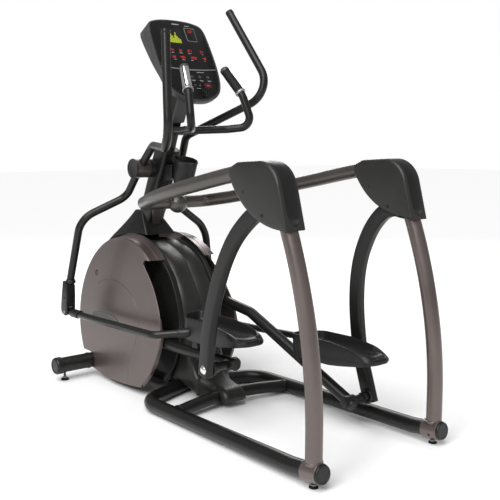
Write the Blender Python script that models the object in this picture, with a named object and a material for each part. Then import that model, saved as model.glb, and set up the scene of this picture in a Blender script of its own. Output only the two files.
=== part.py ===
"""An elliptical trainer with a rear U-frame, swinging arms, moving handles and a front flywheel.

Metres. +X is the user's right, +Y is forward (console end), +Z is up, and the floor is z = 0.
Every moving piece is built where it stands at rest: left side at the front of its stride,
right side at the back of it.
"""

import math

import bmesh
import bpy
from mathutils import Matrix, Vector

GAP = 0.0003
CENTRE_SHIFT = -0.0466
SIDES = {"left": -1, "right": 1}

# Base
RAIL_X = 0.33
RAIL_R = 0.032
BRACE_R = 0.028
SPINE = ((-0.03, 0.0595, 0.008), (0.03, 0.8132, 0.075))
STAB_Y = 0.852
STAB_Z = 0.078
STAB_R = 0.038
STAB_HALF = 0.43
FRONT_CAP_R = 0.0425
FOOT_X = 0.40
CLAMP_Y = -0.878
CLAMP_HALF = 0.038
CLAMP_R = 0.038
RAIL_SLOPE = -0.09

# Rear posts and the U-shaped upper tube
POST_X = 0.332
POST_R = 0.031
POST_FOOT_Y = -0.880
POST_LEAN = 0.284
POST_LEAN_Z = 0.20
POST_TOP_Z = 1.072
UPPER_R = 0.0305
UPPER_HALF = (
    (0.332, -0.655, 1.086),
    (0.333, -0.540, 1.086),
    (0.333, -0.422, 1.068),
    (0.330, -0.172, 1.020),
    (0.318, -0.012, 0.989),
    (0.285, 0.158, 0.956),
    (0.236, 0.308, 0.926),
    (0.190, 0.418, 0.908),
    (0.090, 0.438, 0.903),
)
BALL = (0.0, 0.410, 0.900)
BALL_R = 0.046

# Shoulder covers
COVER_IN = 0.2835
COVER_OUT = 0.3805
COVER_WALL = 0.004
COVER_SEAM = 0.332
COVER_ARC = (-0.755, 1.213)
COVER_ARC_R = 0.325

# Swinging arms
PIVOT = (-0.7395, 0.9225)
PIVOT_PIN_R = 0.009
ARM_REST = math.radians(12.78)
ARM_IN = 0.291
ARM_OUT = 0.329
ARM_DEPTH = 0.063
NECK_IN = 0.2905
NECK_OUT = 0.3005
ARM_PATH = (
    (-0.655, 0.945),
    (-0.600, 0.925),
    (-0.5365, 0.8775),
    (-0.481, 0.810),
    (-0.442, 0.743),
    (-0.412, 0.664),
    (-0.391, 0.577),
    (-0.379, 0.495),
    (-0.372, 0.413),
    (-0.371, 0.3385),
    (-0.377, 0.262),
    (-0.387, 0.155),
)
AXLE = (-0.389, 0.181)
AXLE_R = 0.012

# Drive links
LINK_X = 0.181
LINK_R = 0.025
LINK_REST = {"left": math.radians(-1.17), "right": math.radians(23.11)}
LINK_BEND = 0.70
LINK_FRONT = 0.27
LINK_BEND_ANGLE = math.radians(-15.4)
SUPPORT = (0.25, 0.0932)
PIN_BORE_R = 0.0125

# Crank, pulley, belt, flywheel
CRANK = (0.538, 0.307)
CRANK_R = 0.225
CRANK_REST = math.radians(146.6)
CRANK_IN = 0.122
CRANK_OUT = 0.152
PULLEY_R = 0.16
WHEEL = (0.45, 0.50)
WHEEL_R = 0.15
WHEEL_PULLEY_R = 0.03
BELT_X = (-0.060, -0.040)
SHAFT_R = 0.012

# Moving handles
HUB = (0.56, 1.066)
HANDLE_REST = math.radians(14.12)
HANDLE_R = 0.019
HANDLE_UP = (
    (0.118, -0.018, 0.027),
    (0.118, -0.092, 0.137),
    (0.335, -0.537, 0.234),
    (0.299, -0.353, 0.690),
)
HANDLE_DOWN = (
    (0.118, 0.018, -0.035),
    (0.118, 0.086, -0.168),
    (0.327, 0.150, -0.294),
    (0.330, 0.190, -0.634),
    (0.340, 0.172, -0.730),
)
SLEEVE = (0.0755, 0.152)
SLEEVE_R = 0.045
HUB_SHAFT_R = 0.020
HUB_CAP = (0.1523, 0.159)
HUB_CAP_R = 0.0475
KNUCKLE = (0.1592, -0.7938)
KNUCKLE_X = 0.340

# Foot members, drawn for the left side and turned about the knuckle for the right
FOOT_KNUCKLE = (0.908, 0.335)
FOOT_TILT = {"left": 0.0, "right": math.radians(-1.18)}
ROD_R = 0.0165
ROD_PATH = ((0.340, 0.620, 0.340), (0.340, 0.120, 0.357), (0.232, 0.012, 0.372))
PEDAL_X = (0.092, 0.236)
PEDAL_Y = (-0.366, 0.094)
PEDAL_Z = (0.338, 0.440)
TREAD = (0.3965, 0.402)
PEDAL_WALL = 0.006

# Drive cover
DISC = (0.621, 0.341)
DISC_FACE = 0.262
DISC_BACK = 0.180
DISC_LEAN = 0.10
DISC_FACE_R = 0.389
DISC_BACK_R = 0.402
DISC_WALL = 0.0035
SHROUD_HALF = 0.100
SHROUD_WALL = 0.004
STEP_BAND_X = 0.150
TAIL_HALF = 0.066
TAIL_EDGE = (
    (0.150, 0.130),
    (0.100, 0.108),
    (0.040, 0.093),
    (-0.010, 0.083),
    (-0.038, 0.064),
    (-0.044, 0.038),
    (-0.034, 0.027),
    (0.150, 0.027),
)

# Mast, console, handlebar
MAST_PATH = (
    (0, 0.489, 1.160),
    (0, 0.532, 1.066),
    (0, 0.628, 0.860),
    (0, 0.702, 0.700),
    (0, 0.755, 0.560),
    (0, 0.755, 0.0753),
)
MAST_W = 0.094
MAST_D = 0.098
NECK_PATH = ((0, 0.512, 1.110), (0, 0.452, 1.250), (0, 0.372, 1.440))
CONSOLE_AT = (0.0, 0.307, 1.539)
CONSOLE_TILT = math.atan2(0.879, 0.476)
CONSOLE_EDGE = (
    (0.000, 0.252),
    (0.095, 0.245),
    (0.148, 0.224),
    (0.164, 0.168),
    (0.167, 0.012),
    (0.150, -0.095),
    (0.100, -0.160),
    (0.040, -0.184),
)
KEYS = {
    "key_program": (0.000, -0.055, 0.0065),
    "key_level_down": (0.045, -0.055, 0.0065),
    "key_level_up": (0.090, -0.055, 0.0065),
    "key_minus": (0.003, -0.100, 0.005),
    "key_plus": (0.030, -0.100, 0.005),
    "key_stop": (0.075, -0.100, 0.012),
}
BAR_R = 0.018
BAR_HALF = (
    (0.113, 0.185, 1.518),
    (0.150, 0.100, 1.402),
    (0.172, 0.052, 1.262),
    (0.100, 0.150, 1.250),
    (0.030, 0.300, 1.246),
    (0.020, 0.428, 1.246),
)
GRIP_R = 0.022

COLOURS = {
    "bronze": ((0.235, 0.205, 0.195), 0.38, 0.6),
    "black_paint": ((0.022, 0.022, 0.023), 0.42, 0.3),
    "black_plastic": ((0.020, 0.020, 0.021), 0.5, 0.0),
    "rubber": ((0.016, 0.016, 0.016), 0.8, 0.0),
    "chrome": ((0.75, 0.75, 0.76), 0.15, 1.0),
    "grey_plastic": ((0.09, 0.09, 0.095), 0.5, 0.0),
    "panel": ((0.010, 0.010, 0.011), 0.15, 0.0),
    "red_plastic": ((0.35, 0.02, 0.02), 0.45, 0.0),
    "steel": ((0.45, 0.45, 0.46), 0.35, 1.0),
    "cast_iron": ((0.12, 0.12, 0.125), 0.6, 0.8),
}


def start_scene():
    for obj in list(bpy.data.objects):
        bpy.data.objects.remove(obj)
    for name in ("elliptical_trainer", "cutters"):
        group = bpy.data.collections.new(name)
        bpy.context.scene.collection.children.link(group)


def material(slot):
    found = bpy.data.materials.get(slot)
    if found:
        return found
    made = bpy.data.materials.new(slot)
    made.use_nodes = True
    colour, roughness, metallic = COLOURS[slot]
    shader = made.node_tree.nodes["Principled BSDF"]
    shader.inputs["Base Color"].default_value = (*colour, 1)
    shader.inputs["Roughness"].default_value = roughness
    shader.inputs["Metallic"].default_value = metallic
    made.diffuse_color = (*colour, 1)
    return made


def add_object(name, bm, slot, smooth=False):
    bmesh.ops.recalc_face_normals(bm, faces=bm.faces)
    bmesh.ops.translate(bm, verts=bm.verts, vec=(0, CENTRE_SHIFT, 0))
    for face in bm.faces:
        face.smooth = smooth
    mesh = bpy.data.meshes.new(name)
    bm.to_mesh(mesh)
    bm.free()
    mesh.materials.append(material(slot))
    obj = bpy.data.objects.new(name, mesh)
    bpy.data.collections["elliptical_trainer"].objects.link(obj)
    return obj


def as_tool(obj):
    """Hides an object that only cuts or joins others."""
    bpy.data.collections["elliptical_trainer"].objects.unlink(obj)
    bpy.data.collections["cutters"].objects.link(obj)
    obj.hide_render = True
    obj.display_type = "WIRE"
    obj.name = "tool_" + obj.name
    return obj


def boolean(target, operation, tools):
    for tool in tools:
        if not tool.name.startswith("tool_"):
            as_tool(tool)
        step = target.modifiers.new(operation.lower(), "BOOLEAN")
        step.operation = operation
        step.solver = "EXACT"
        step.object = tool
    return target


def join(target, *tools):
    return boolean(target, "UNION", tools)


def cut(target, *tools):
    return boolean(target, "DIFFERENCE", tools)


def turn(point, centre, angle):
    """A (y, z) point turned about +X through centre."""
    y, z = point[0] - centre[0], point[1] - centre[1]
    cos, sin = math.cos(angle), math.sin(angle)
    return centre[0] + y * cos - z * sin, centre[1] + y * sin + z * cos


def fillet(points, radius, steps=4, closed=False):
    """The points with every inner corner replaced by an arc of this radius."""
    corners = [Vector(p) for p in points]
    count = len(corners)
    rounded = []
    for i, corner in enumerate(corners):
        r = radius[i] if isinstance(radius, (list, tuple)) else radius
        if r <= 0 or (not closed and i in (0, count - 1)):
            rounded.append(corner)
            continue
        back = (corners[i - 1] - corner).normalized()
        ahead = (corners[(i + 1) % count] - corner).normalized()
        half = back.angle(ahead) / 2
        if half > math.radians(89):
            rounded.append(corner)
            continue
        centre = corner + (back + ahead).normalized() * (r / math.sin(half))
        first = corner + back * (r / math.tan(half)) - centre
        last = corner + ahead * (r / math.tan(half)) - centre
        span = math.pi - 2 * half
        for k in range(steps + 1):
            t = k / steps
            a = math.sin((1 - t) * span) / math.sin(span)
            b = math.sin(t * span) / math.sin(span)
            rounded.append(centre + first * a + last * b)
    return rounded


def arc(centre, radius, start, end, steps):
    """(y, z) points on an arc, angles in degrees from +Y towards +Z."""
    turns = [math.radians(start + (end - start) * k / steps) for k in range(steps + 1)]
    return [(centre[0] + radius * math.cos(a), centre[1] + radius * math.sin(a)) for a in turns]


def circle(radius, sides=12):
    turns = [2 * math.pi * k / sides for k in range(sides)]
    return [(radius * math.cos(a), radius * math.sin(a)) for a in turns]


def rounded_rectangle(width, depth, radius, steps=2):
    x, y = width / 2, depth / 2
    corners = [(x, y, 0), (-x, y, 0), (-x, -y, 0), (x, -y, 0)]
    return [(p.x, p.y) for p in fillet(corners, radius, steps, closed=True)]


def rings_to_mesh(bm, rings):
    made = [[bm.verts.new(p) for p in ring] for ring in rings]
    for low, high in zip(made, made[1:]):
        for k in range(len(low)):
            n = (k + 1) % len(low)
            bm.faces.new((low[k], low[n], high[n], high[k]))
    bm.faces.new(made[0])
    bm.faces.new(made[-1])


def sweep(name, points, section, slot, side=Vector((1, 0, 0)), smooth=True):
    """A section carried along a path, mitred at its corners."""
    path = [Vector(p) for p in points]
    ways = [(b - a).normalized() for a, b in zip(path, path[1:])]
    if abs(ways[0].dot(side)) > 0.9:
        side = Vector((0, 0, 1))
    across = (side - ways[0] * side.dot(ways[0])).normalized()
    over = ways[0].cross(across)
    rings = []
    for i, point in enumerate(path):
        way = ways[max(i - 1, 0)]
        normal = (way + ways[min(i, len(ways) - 1)]).normalized()
        ring = []
        for a, b in section:
            offset = across * a + over * b
            ring.append(point + offset - way * (offset.dot(normal) / way.dot(normal)))
        rings.append(ring)
        if 0 < i < len(path) - 1:
            spin = ways[i - 1].rotation_difference(ways[i])
            across.rotate(spin)
            over.rotate(spin)
    bm = bmesh.new()
    rings_to_mesh(bm, rings)
    return add_object(name, bm, slot, smooth)


def tube(name, points, radius, slot, sides=12):
    return sweep(name, points, circle(radius, sides), slot)


def loft(name, rings, slot, smooth=False):
    bm = bmesh.new()
    rings_to_mesh(bm, rings)
    return add_object(name, bm, slot, smooth)


def prism(name, outline, low, high, slot):
    """A (y, z) outline extruded along X."""
    return loft(name, [[(x, p[0], p[1]) for p in outline] for x in (low, high)], slot)


def block(name, low, high, slot):
    corners = ((low[1], low[2]), (high[1], low[2]), (high[1], high[2]), (low[1], high[2]))
    return prism(name, corners, low[0], high[0], slot)


def rod(name, centre, radius, low, high, slot, sides=16):
    """A round bar along X about a (y, z) centre."""
    return prism(name, arc(centre, radius, 0, 360 - 360 / sides, sides - 1), low, high, slot)


def lathe(name, profile, origin, axis, slot, steps=16):
    """A (radius, height) profile turned about an axis. A profile with no zero radius closes on itself."""
    way = Vector(axis).normalized()
    across = way.orthogonal().normalized()
    over = way.cross(across)
    bm = bmesh.new()
    rings = []
    for radius, height in profile:
        middle = Vector(origin) + way * height
        if radius == 0:
            rings.append([bm.verts.new(middle)])
            continue
        turns = [2 * math.pi * k / steps for k in range(steps)]
        spots = [middle + (across * math.cos(a) + over * math.sin(a)) * radius for a in turns]
        rings.append([bm.verts.new(p) for p in spots])
    hollow = all(radius > 0 for radius, _ in profile)
    pairs = list(zip(rings, rings[1:])) + ([(rings[-1], rings[0])] if hollow else [])
    for low, high in pairs:
        for k in range(steps):
            n = (k + 1) % steps
            corners = [low[k % len(low)], low[n % len(low)], high[n % len(high)], high[k % len(high)]]
            kept = list(dict.fromkeys(corners))
            if len(kept) > 2:
                bm.faces.new(kept)
    return add_object(name, bm, slot, smooth=True)


def band(path, width):
    """The (y, z) outline of a bar of this width along a path."""
    spots = [Vector((p[0], p[1])) for p in path]
    left, right = [], []
    for i, spot in enumerate(spots):
        before = (spot - spots[i - 1]).normalized() if i else (spots[1] - spot).normalized()
        after = (spots[i + 1] - spot).normalized() if i < len(spots) - 1 else before
        normal = Vector((-(before.y + after.y), before.x + after.x)).normalized()
        reach = width / 2 / max(normal.dot(Vector((-before.y, before.x))), 0.5)
        left.append(spot + normal * reach)
        right.append(spot - normal * reach)
    return [tuple(p) for p in left] + [tuple(p) for p in reversed(right)]


def mirrored(points, sign):
    return [(sign * p[0], *p[1:]) for p in points]


def span(sign, low, high):
    """Low and high x of a span that is |x| = low..high on one side."""
    return (low, high) if sign > 0 else (-high, -low)


def rail_path(sign):
    corners = [
        (RAIL_X, -0.9150, 0.0605),
        (RAIL_X, -0.772, 0.0470),
        (RAIL_X, 0.205, 0.0340),
        (0.0, 0.325, 0.0350),
    ]
    return mirrored(fillet(corners, [0, 0.3, 0.12, 0], 5), sign)


def post_path(sign):
    """The rear post: upright at its foot, then leaning forward ever more."""
    heights = [0.0905, POST_LEAN_Z] + [
        POST_LEAN_Z + (POST_TOP_Z - POST_LEAN_Z) * k / 6 for k in range(1, 7)
    ]
    return [
        (sign * POST_X, POST_FOOT_Y + POST_LEAN * max(z - POST_LEAN_Z, 0) ** 2, z)
        for z in heights
    ]


def upper_path():
    half = [Vector(p) for p in fillet(UPPER_HALF, [0, 0, 0, 0, 0, 0, 0, 0.06, 0], 2)]
    other = [Vector((-p.x, p.y, p.z)) for p in reversed(half)]
    return half + other


def build_base():
    spine = block("center_spine", *SPINE, "black_paint")
    for name, sign in SIDES.items():
        rail = tube(f"base_rail_{name}", rail_path(sign), RAIL_R, "black_paint", 12)
        cut(rail, block(f"spine_gap_{name}", (-0.03 - GAP, 0, -0.01), (0.03 + GAP, 0.6, 0.1), "steel"))
        end = Vector((sign * RAIL_X, CLAMP_Y, 0.0573))
        way = Vector((0, 1, RAIL_SLOPE)).normalized()
        half = CLAMP_HALF
        profile = [(CLAMP_R, -half), (CLAMP_R, half), (0.0335, half), (0.0335, -half)]
        clamp = lathe(f"rear_clamp_{name}", profile, end, way, "bronze", 20)
        bolt = tube(
            f"clamp_bolt_{name}",
            [end + Vector((0, -0.02, -0.015)), end + Vector((-sign * 0.06, -0.02, -0.015))],
            0.005,
            "steel",
            8,
        )
        cut(clamp, bolt)
        cap_at = end - way * (half + GAP)
        lathe(
            f"rear_end_cap_{name}",
            [(0, 0), (0.035, 0), (0.035, -0.006), (0.031, -0.011), (0, -0.012)],
            cap_at,
            way,
            "black_plastic",
            18,
        )
        foot_z = 0.0573 - CLAMP_R - 0.002
        levelling_foot(f"levelling_foot_rear_{name}", (sign * RAIL_X, CLAMP_Y, 0), foot_z, 0.017)
        levelling_foot(
            f"levelling_foot_front_{name}", (sign * FOOT_X, STAB_Y, 0), STAB_Z - STAB_R - GAP, 0.020
        )
        ring = [(0, 0), (FRONT_CAP_R, 0), (FRONT_CAP_R, 0.018), (0.038, 0.0235), (0, 0.025)]
        lathe(
            f"front_end_cap_{name}",
            ring,
            (sign * (STAB_HALF + GAP), STAB_Y, STAB_Z),
            (sign, 0, 0),
            "black_plastic",
            20,
        )
    rod("front_stabilizer", (STAB_Y, STAB_Z), STAB_R, -STAB_HALF, STAB_HALF, "black_paint", 20)
    ends = [(-RAIL_X, -0.020, 0.0355), (-0.15, 0.012, 0.045), (0, 0.026, 0.048)]
    path = ends + [(-x, y, z) for x, y, z in reversed(ends[:-1])]
    brace = tube("base_cross_brace", path, BRACE_R, "black_paint", 12)
    for name, sign in SIDES.items():
        straight = [(sign * RAIL_X, -0.30, 0.0404), (sign * RAIL_X, 0.13, 0.0345)]
        cut(brace, tube(f"rail_gap_{name}", straight, RAIL_R + 0.0009, "steel", 12))
    return spine


def levelling_foot(name, spot, top, pad_r):
    pad = min(0.012, top * 0.5)
    profile = [
        (0, 0), (pad_r, 0), (pad_r, pad * 0.6), (pad_r * 0.6, pad), (0.0065, pad), (0.0065, top), (0, top)
    ]
    lathe(name, profile, spot, (0, 0, 1), "rubber", 14)


def build_rear_frame():
    upper = tube("upper_frame_tube", upper_path(), UPPER_R, "bronze", 12)
    ball = lathe(
        "frame_hub_ball",
        [(0, -BALL_R)]
        + [
            (BALL_R * math.sin(math.radians(a)), -BALL_R * math.cos(math.radians(a))) for a in range(
                22, 170, 22
            )
        ]
        + [(0, BALL_R)],
        BALL,
        (0, 0, 1),
        "bronze",
        18,
    )
    apex = [(-0.09, 0.438, 0.903), (0.09, 0.438, 0.903)]
    cut(ball, tube("upper_tube_gap", apex, UPPER_R + 0.001, "steel", 12))
    for name, sign in SIDES.items():
        post = tube(f"rear_post_{name}", post_path(sign), POST_R, "bronze", 12)
        pin = rod(f"pivot_pin_{name}", PIVOT, PIVOT_PIN_R, *span(sign, 0.2885, 0.32), "steel", 12)
        join(post, pin)
        end = [(sign * 0.332, -0.72, 1.086), (sign * 0.332, -0.54, 1.086)]
        cut(post, tube(f"upper_gap_{name}", end, UPPER_R + 0.001, "steel", 12))
        clamp_gap = [(sign * RAIL_X, -0.95, 0.0638), (sign * RAIL_X, -0.80, 0.0503)]
        cut(post, tube(f"clamp_gap_{name}", clamp_gap, CLAMP_R + 0.001, "steel", 20))
        build_shoulder(name, sign)
    return upper


def cover_outline(inset):
    """The shoulder cover from the side: a round lower front edge and a rounded upper rear corner."""
    r = COVER_ARC_R - inset
    lower = arc(COVER_ARC, r, -92.5, -27.5, 9)
    rear_low = (-0.783 + inset, COVER_ARC[1] - 0.325 + inset)
    top_rear = (-0.719 + inset * 0.8, 1.130 - inset)
    brow = (-0.512 - inset * 0.3, 1.1185 - inset)
    tip = (-0.464 - inset * 0.9, 1.097 - inset * 0.7)
    corners = [(y, z, 0) for y, z in (rear_low, top_rear, brow, tip)]
    rounded = fillet(corners, [0, 0.112, 0.03, 0], 6)
    return lower + [(p.x, p.y) for p in reversed(rounded)]


def build_shoulder(name, sign):
    halves = {"outer": (COVER_SEAM + GAP / 2, COVER_OUT), "inner": (COVER_IN, COVER_SEAM - GAP / 2)}
    end = [(sign * 0.332, -0.715, 1.086), (sign * 0.333, -0.540, 1.086), (sign * 0.333, -0.40, 1.064)]
    for half, (low, high) in halves.items():
        face, seam = (high, low) if half == "outer" else (low, high)
        inward = -1 if half == "outer" else 1
        stations = ((face, 0.008), (face + inward * 0.003, 0.0025), (face + inward * 0.009, 0), (seam, 0))
        rings = [[(sign * x, *p) for p in cover_outline(inset)] for x, inset in stations]
        shell = loft(f"shoulder_cover_{half}_{name}", rings, "black_plastic")
        hollow = (low - 0.01, high - COVER_WALL) if half == "outer" else (low + COVER_WALL, high + 0.01)
        cut(shell, prism(f"hollow_{half}_{name}", cover_outline(COVER_WALL), *span(sign, *hollow), "steel"))
        cut(shell, tube(f"tube_way_{half}_{name}", end, UPPER_R + 0.0015, "steel", 12))
        cut(shell, tube(f"post_way_{half}_{name}", post_path(sign), POST_R + 0.0015, "steel", 12))
        if half == "inner":
            reach = arc(COVER_ARC, COVER_ARC_R - 0.02, -84, -28, 8)
            beyond = arc(COVER_ARC, COVER_ARC_R + 0.03, -28, -84, 8)
            slot = prism(
                f"arm_slot_{name}", reach + beyond, *span(sign, COVER_IN + COVER_WALL, 0.34), "steel"
            )
            cut(shell, slot)


def arm_angle(name):
    return ARM_REST if name == "left" else -ARM_REST


def axle_of(name):
    return turn(AXLE, PIVOT, arm_angle(name))


def build_arms():
    for name, sign in SIDES.items():
        angle = arm_angle(name)
        placed = [turn(p, PIVOT, angle) for p in ARM_PATH]
        arm = prism(
            f"pendulum_arm_{name}", band(placed, ARM_DEPTH), *span(sign, ARM_IN, ARM_OUT), "black_paint"
        )
        neck = [turn(p, PIVOT, angle) for p in (PIVOT, (-0.62, 0.935), (-0.575, 0.915))]
        join(arm, prism(f"arm_neck_{name}", band(neck, 0.042), *span(sign, NECK_IN, NECK_OUT), "black_paint"))
        join(
            arm,
            rod(
                f"arm_eye_{name}",
                PIVOT,
                0.021,
                *span(sign, NECK_IN + 0.0001, NECK_OUT - 0.0001),
                "black_paint",
                16,
            ),
        )
        cut(arm, rod(f"arm_bore_{name}", PIVOT, PIVOT_PIN_R + 0.0006, *span(sign, 0.28, 0.32), "steel", 12))
        axle = axle_of(name)
        join(arm, rod(f"axle_{name}", axle, AXLE_R, *span(sign, 0.150, 0.30), "steel", 12))
        join(arm, rod(f"axle_spacer_{name}", axle, 0.0175, *span(sign, LINK_X + 0.027, 0.30), "steel", 12))
        join(arm, rod(f"axle_bushing_{name}", axle, 0.032, *span(sign, 0.280, 0.2935), "steel", 14))
        join(
            arm,
            rod(f"axle_head_{name}", axle, 0.018, *span(sign, LINK_X - 0.037, LINK_X - 0.0265), "steel", 12),
        )
        dome = [(0, 0), (0.018, 0), (0.0165, 0.003), (0.009, 0.006), (0, 0.007)]
        cap_at = (sign * (ARM_OUT - 0.0005), *axle)
        join(arm, lathe(f"axle_cap_{name}", dome, cap_at, (sign, 0, 0), "chrome", 12))


def link_point(name, along, above):
    axle = axle_of(name)
    return turn((axle[0] + along, axle[1] + above), axle, LINK_REST[name])


def build_links():
    bend_y = LINK_BEND + LINK_FRONT * math.cos(LINK_BEND_ANGLE)
    bend_z = LINK_FRONT * math.sin(LINK_BEND_ANGLE)
    for name, sign in SIDES.items():
        local = fillet([(0, -0.030, 0), (0, LINK_BEND, 0), (0, bend_y, bend_z)], 0.08, 3)
        path = [(sign * LINK_X, *link_point(name, p.y, p.z)) for p in local]
        link = tube(f"drive_link_{name}", path, LINK_R, "black_paint", 12)
        front = link_point(name, bend_y, bend_z)
        join(
            link,
            rod(
                f"link_boss_{name}",
                front,
                0.029,
                *span(sign, LINK_X - 0.024, LINK_X + 0.024),
                "black_paint",
                16,
            ),
        )
        foot = [link_point(name, *p) for p in ((SUPPORT[0], SUPPORT[1]), (SUPPORT[0], 0.0))]
        wide = [
            link_point(name, *p) for p in ((0.228, 0.010), (0.272, 0.010), (0.2585, 0.0935), (0.2415, 0.0935))
        ]
        join(
            link,
            prism(f"link_bracket_{name}", wide, *span(sign, LINK_X - 0.009, LINK_X + 0.009), "black_paint"),
        )
        join(
            link,
            rod(
                f"bracket_eye_{name}",
                foot[0],
                0.0095,
                *span(sign, LINK_X - 0.0088, LINK_X + 0.0088),
                "black_paint",
                12,
            ),
        )
        cut(link, rod(f"front_bore_{name}", front, PIN_BORE_R, *span(sign, 0.14, 0.23), "steel", 14))
        cut(link, rod(f"rear_bore_{name}", axle_of(name), PIN_BORE_R, *span(sign, 0.14, 0.23), "steel", 16))
        cut(link, rod(f"eye_bore_{name}", foot[0], 0.0045, *span(sign, 0.16, 0.21), "steel", 10))


def build_drive():
    centre, wheel = CRANK, WHEEL
    for name, sign in SIDES.items():
        angle = CRANK_REST if name == "right" else CRANK_REST + math.pi
        pin = (centre[0] + CRANK_R * math.cos(angle), centre[1] + CRANK_R * math.sin(angle))
        low, high = span(sign, CRANK_IN, CRANK_OUT)
        arm = prism(f"crank_arm_{name}", band([centre, pin], 0.042), low, high, "black_paint")
        join(arm, rod(f"crank_hub_{name}", centre, 0.032, low - 0.0002, high + 0.0002, "black_paint", 18))
        join(arm, rod(f"crank_end_{name}", pin, 0.024, low - 0.0001, high + 0.0001, "black_paint", 16))
        join(arm, rod(f"crank_pin_{name}", pin, 0.011, *span(sign, 0.148, 0.1553), "steel", 14))
        cut(arm, rod(f"crank_bore_{name}", centre, SHAFT_R + GAP * 2, *span(sign, 0.11, 0.1405), "steel", 16))
    axle = rod("crank_axle", centre, SHAFT_R, -0.140, 0.140, "steel", 16)
    join(axle, rod("pulley_disc", centre, PULLEY_R, BELT_X[0] + 0.004, BELT_X[1] - 0.004, "cast_iron", 24))
    join(axle, rod("pulley_rim", centre, PULLEY_R, *BELT_X, "cast_iron", 24))
    flywheel = rod("flywheel", wheel, WHEEL_R, -0.018, 0.042, "cast_iron", 24)
    join(flywheel, rod("wheel_shaft", wheel, 0.010, -0.0835, 0.0835, "steel", 14))
    join(flywheel, rod("wheel_pulley", wheel, WHEEL_PULLEY_R, -0.0605, -0.0395, "steel", 20))
    build_belt()
    build_bracket()


def belt_loop(offset):
    """The belt's loop round both pulleys, this far off their rims."""
    big, small = PULLEY_R + offset, WHEEL_PULLEY_R + offset
    run = Vector((WHEEL[0] - CRANK[0], WHEEL[1] - CRANK[1]))
    facing = math.degrees(math.atan2(run.y, run.x))
    lean = math.degrees(math.acos((big - small) / run.length))
    long_way = arc(CRANK, big, facing + lean, facing + 360 - lean, 24)
    short_way = arc(WHEEL, small, facing - lean, facing + lean, 8)
    return long_way + short_way


def build_belt():
    belt = prism("drive_belt", belt_loop(0.0045), BELT_X[0] + 0.002, BELT_X[1] - 0.002, "rubber")
    cut(belt, prism("belt_inside", belt_loop(0.0015), BELT_X[0] - 0.01, BELT_X[1] + 0.01, "steel"))


def build_bracket():
    """The bearing bracket: two side plates on a foot plate that carry the crank axle and the flywheel."""
    outline = [(0.38, 0.0756), (0.64, 0.0756), (0.60, 0.33), (0.50, 0.55), (0.41, 0.55), (0.39, 0.47)]
    bracket = prism("drive_bracket", outline, -0.078, 0.078, "black_paint")
    cut(
        bracket,
        prism(
            "bracket_inside", [(0.2, 0.0816), (0.8, 0.0816), (0.8, 0.7), (0.2, 0.7)], -0.072, 0.072, "steel"
        ),
    )
    cut(bracket, rod("bracket_crank_bore", CRANK, SHAFT_R + 0.0008, -0.1, 0.1, "steel", 16))
    cut(bracket, rod("bracket_wheel_bore", WHEEL, 0.0108, -0.1, 0.1, "steel", 14))


def handle_angle(name):
    return HANDLE_REST if name == "left" else -HANDLE_REST


def handle_points(points, name, sign):
    placed = []
    for x, y, z in points:
        placed.append((sign * x, *turn((HUB[0] + y, HUB[1] + z), HUB, handle_angle(name))))
    return placed


def knuckle_of(name):
    return turn((HUB[0] + KNUCKLE[0], HUB[1] + KNUCKLE[1]), HUB, handle_angle(name))


def build_handles():
    for name, sign in SIDES.items():
        upper = fillet(handle_points(HANDLE_UP, name, sign), [0, 0.05, 0.10, 0], 4)
        handle = tube(f"moving_handle_{name}", upper, HANDLE_R, "black_paint", 10)
        lower = fillet(handle_points(HANDLE_DOWN, name, sign), [0, 0.07, 0.11, 0.1, 0], 3)
        join(handle, tube(f"handle_lower_{name}", lower, HANDLE_R, "black_paint", 10))
        join(handle, rod(f"handle_sleeve_{name}", HUB, SLEEVE_R, *span(sign, *SLEEVE), "bronze", 18))
        knuckle = knuckle_of(name)
        foot = [
            (HUB[0] + y, HUB[1] + z)
            for y, z in (
                (0.205, -0.640),
                (0.160, -0.650),
                (0.135, -0.790),
                (0.150, -0.812),
                (0.180, -0.812),
                (0.200, -0.780),
            )
        ]
        boot = [turn(p, HUB, handle_angle(name)) for p in foot]
        join(handle, prism(f"knuckle_boot_{name}", boot, *span(sign, 0.314, 0.366), "black_plastic"))
        slot = [(-0.045, -0.045), (0.040, -0.045), (0.040, 0.030), (-0.045, 0.030)]
        slot = [(knuckle[0] + y, knuckle[1] + z) for y, z in slot]
        cut(handle, prism(f"knuckle_slot_{name}", slot, *span(sign, 0.3285, 0.3515), "steel"))
        join(handle, rod(f"knuckle_pin_{name}", knuckle, 0.006, *span(sign, 0.320, 0.360), "steel", 10))
        cut(
            handle,
            rod(f"sleeve_bore_{name}", HUB, HUB_SHAFT_R + 0.0008, *span(sign, 0.06, 0.17), "steel", 14),
        )
        cap = [(0, 0), (HUB_CAP_R, 0), (HUB_CAP_R, 0.004), (HUB_CAP_R - 0.003, 0.0067), (0, 0.0067)]
        lathe(f"hub_cap_{name}", cap, (sign * HUB_CAP[0], *HUB), (sign, 0, 0), "black_plastic", 18)


def foot_place(name, x, y, z):
    """A point of the left foot member, moved to this side's knuckle."""
    sign = SIDES[name]
    knuckle = knuckle_of(name)
    y, z = turn((y, z), FOOT_KNUCKLE, FOOT_TILT[name])
    return (sign * x, y + knuckle[0] - FOOT_KNUCKLE[0], z + knuckle[1] - FOOT_KNUCKLE[1])


def foot_prism(node, name, outline, low, high, slot):
    rings = [[foot_place(name, x, y, z) for y, z in outline] for x in (low, high)]
    return loft(node, rings, slot)


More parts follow.
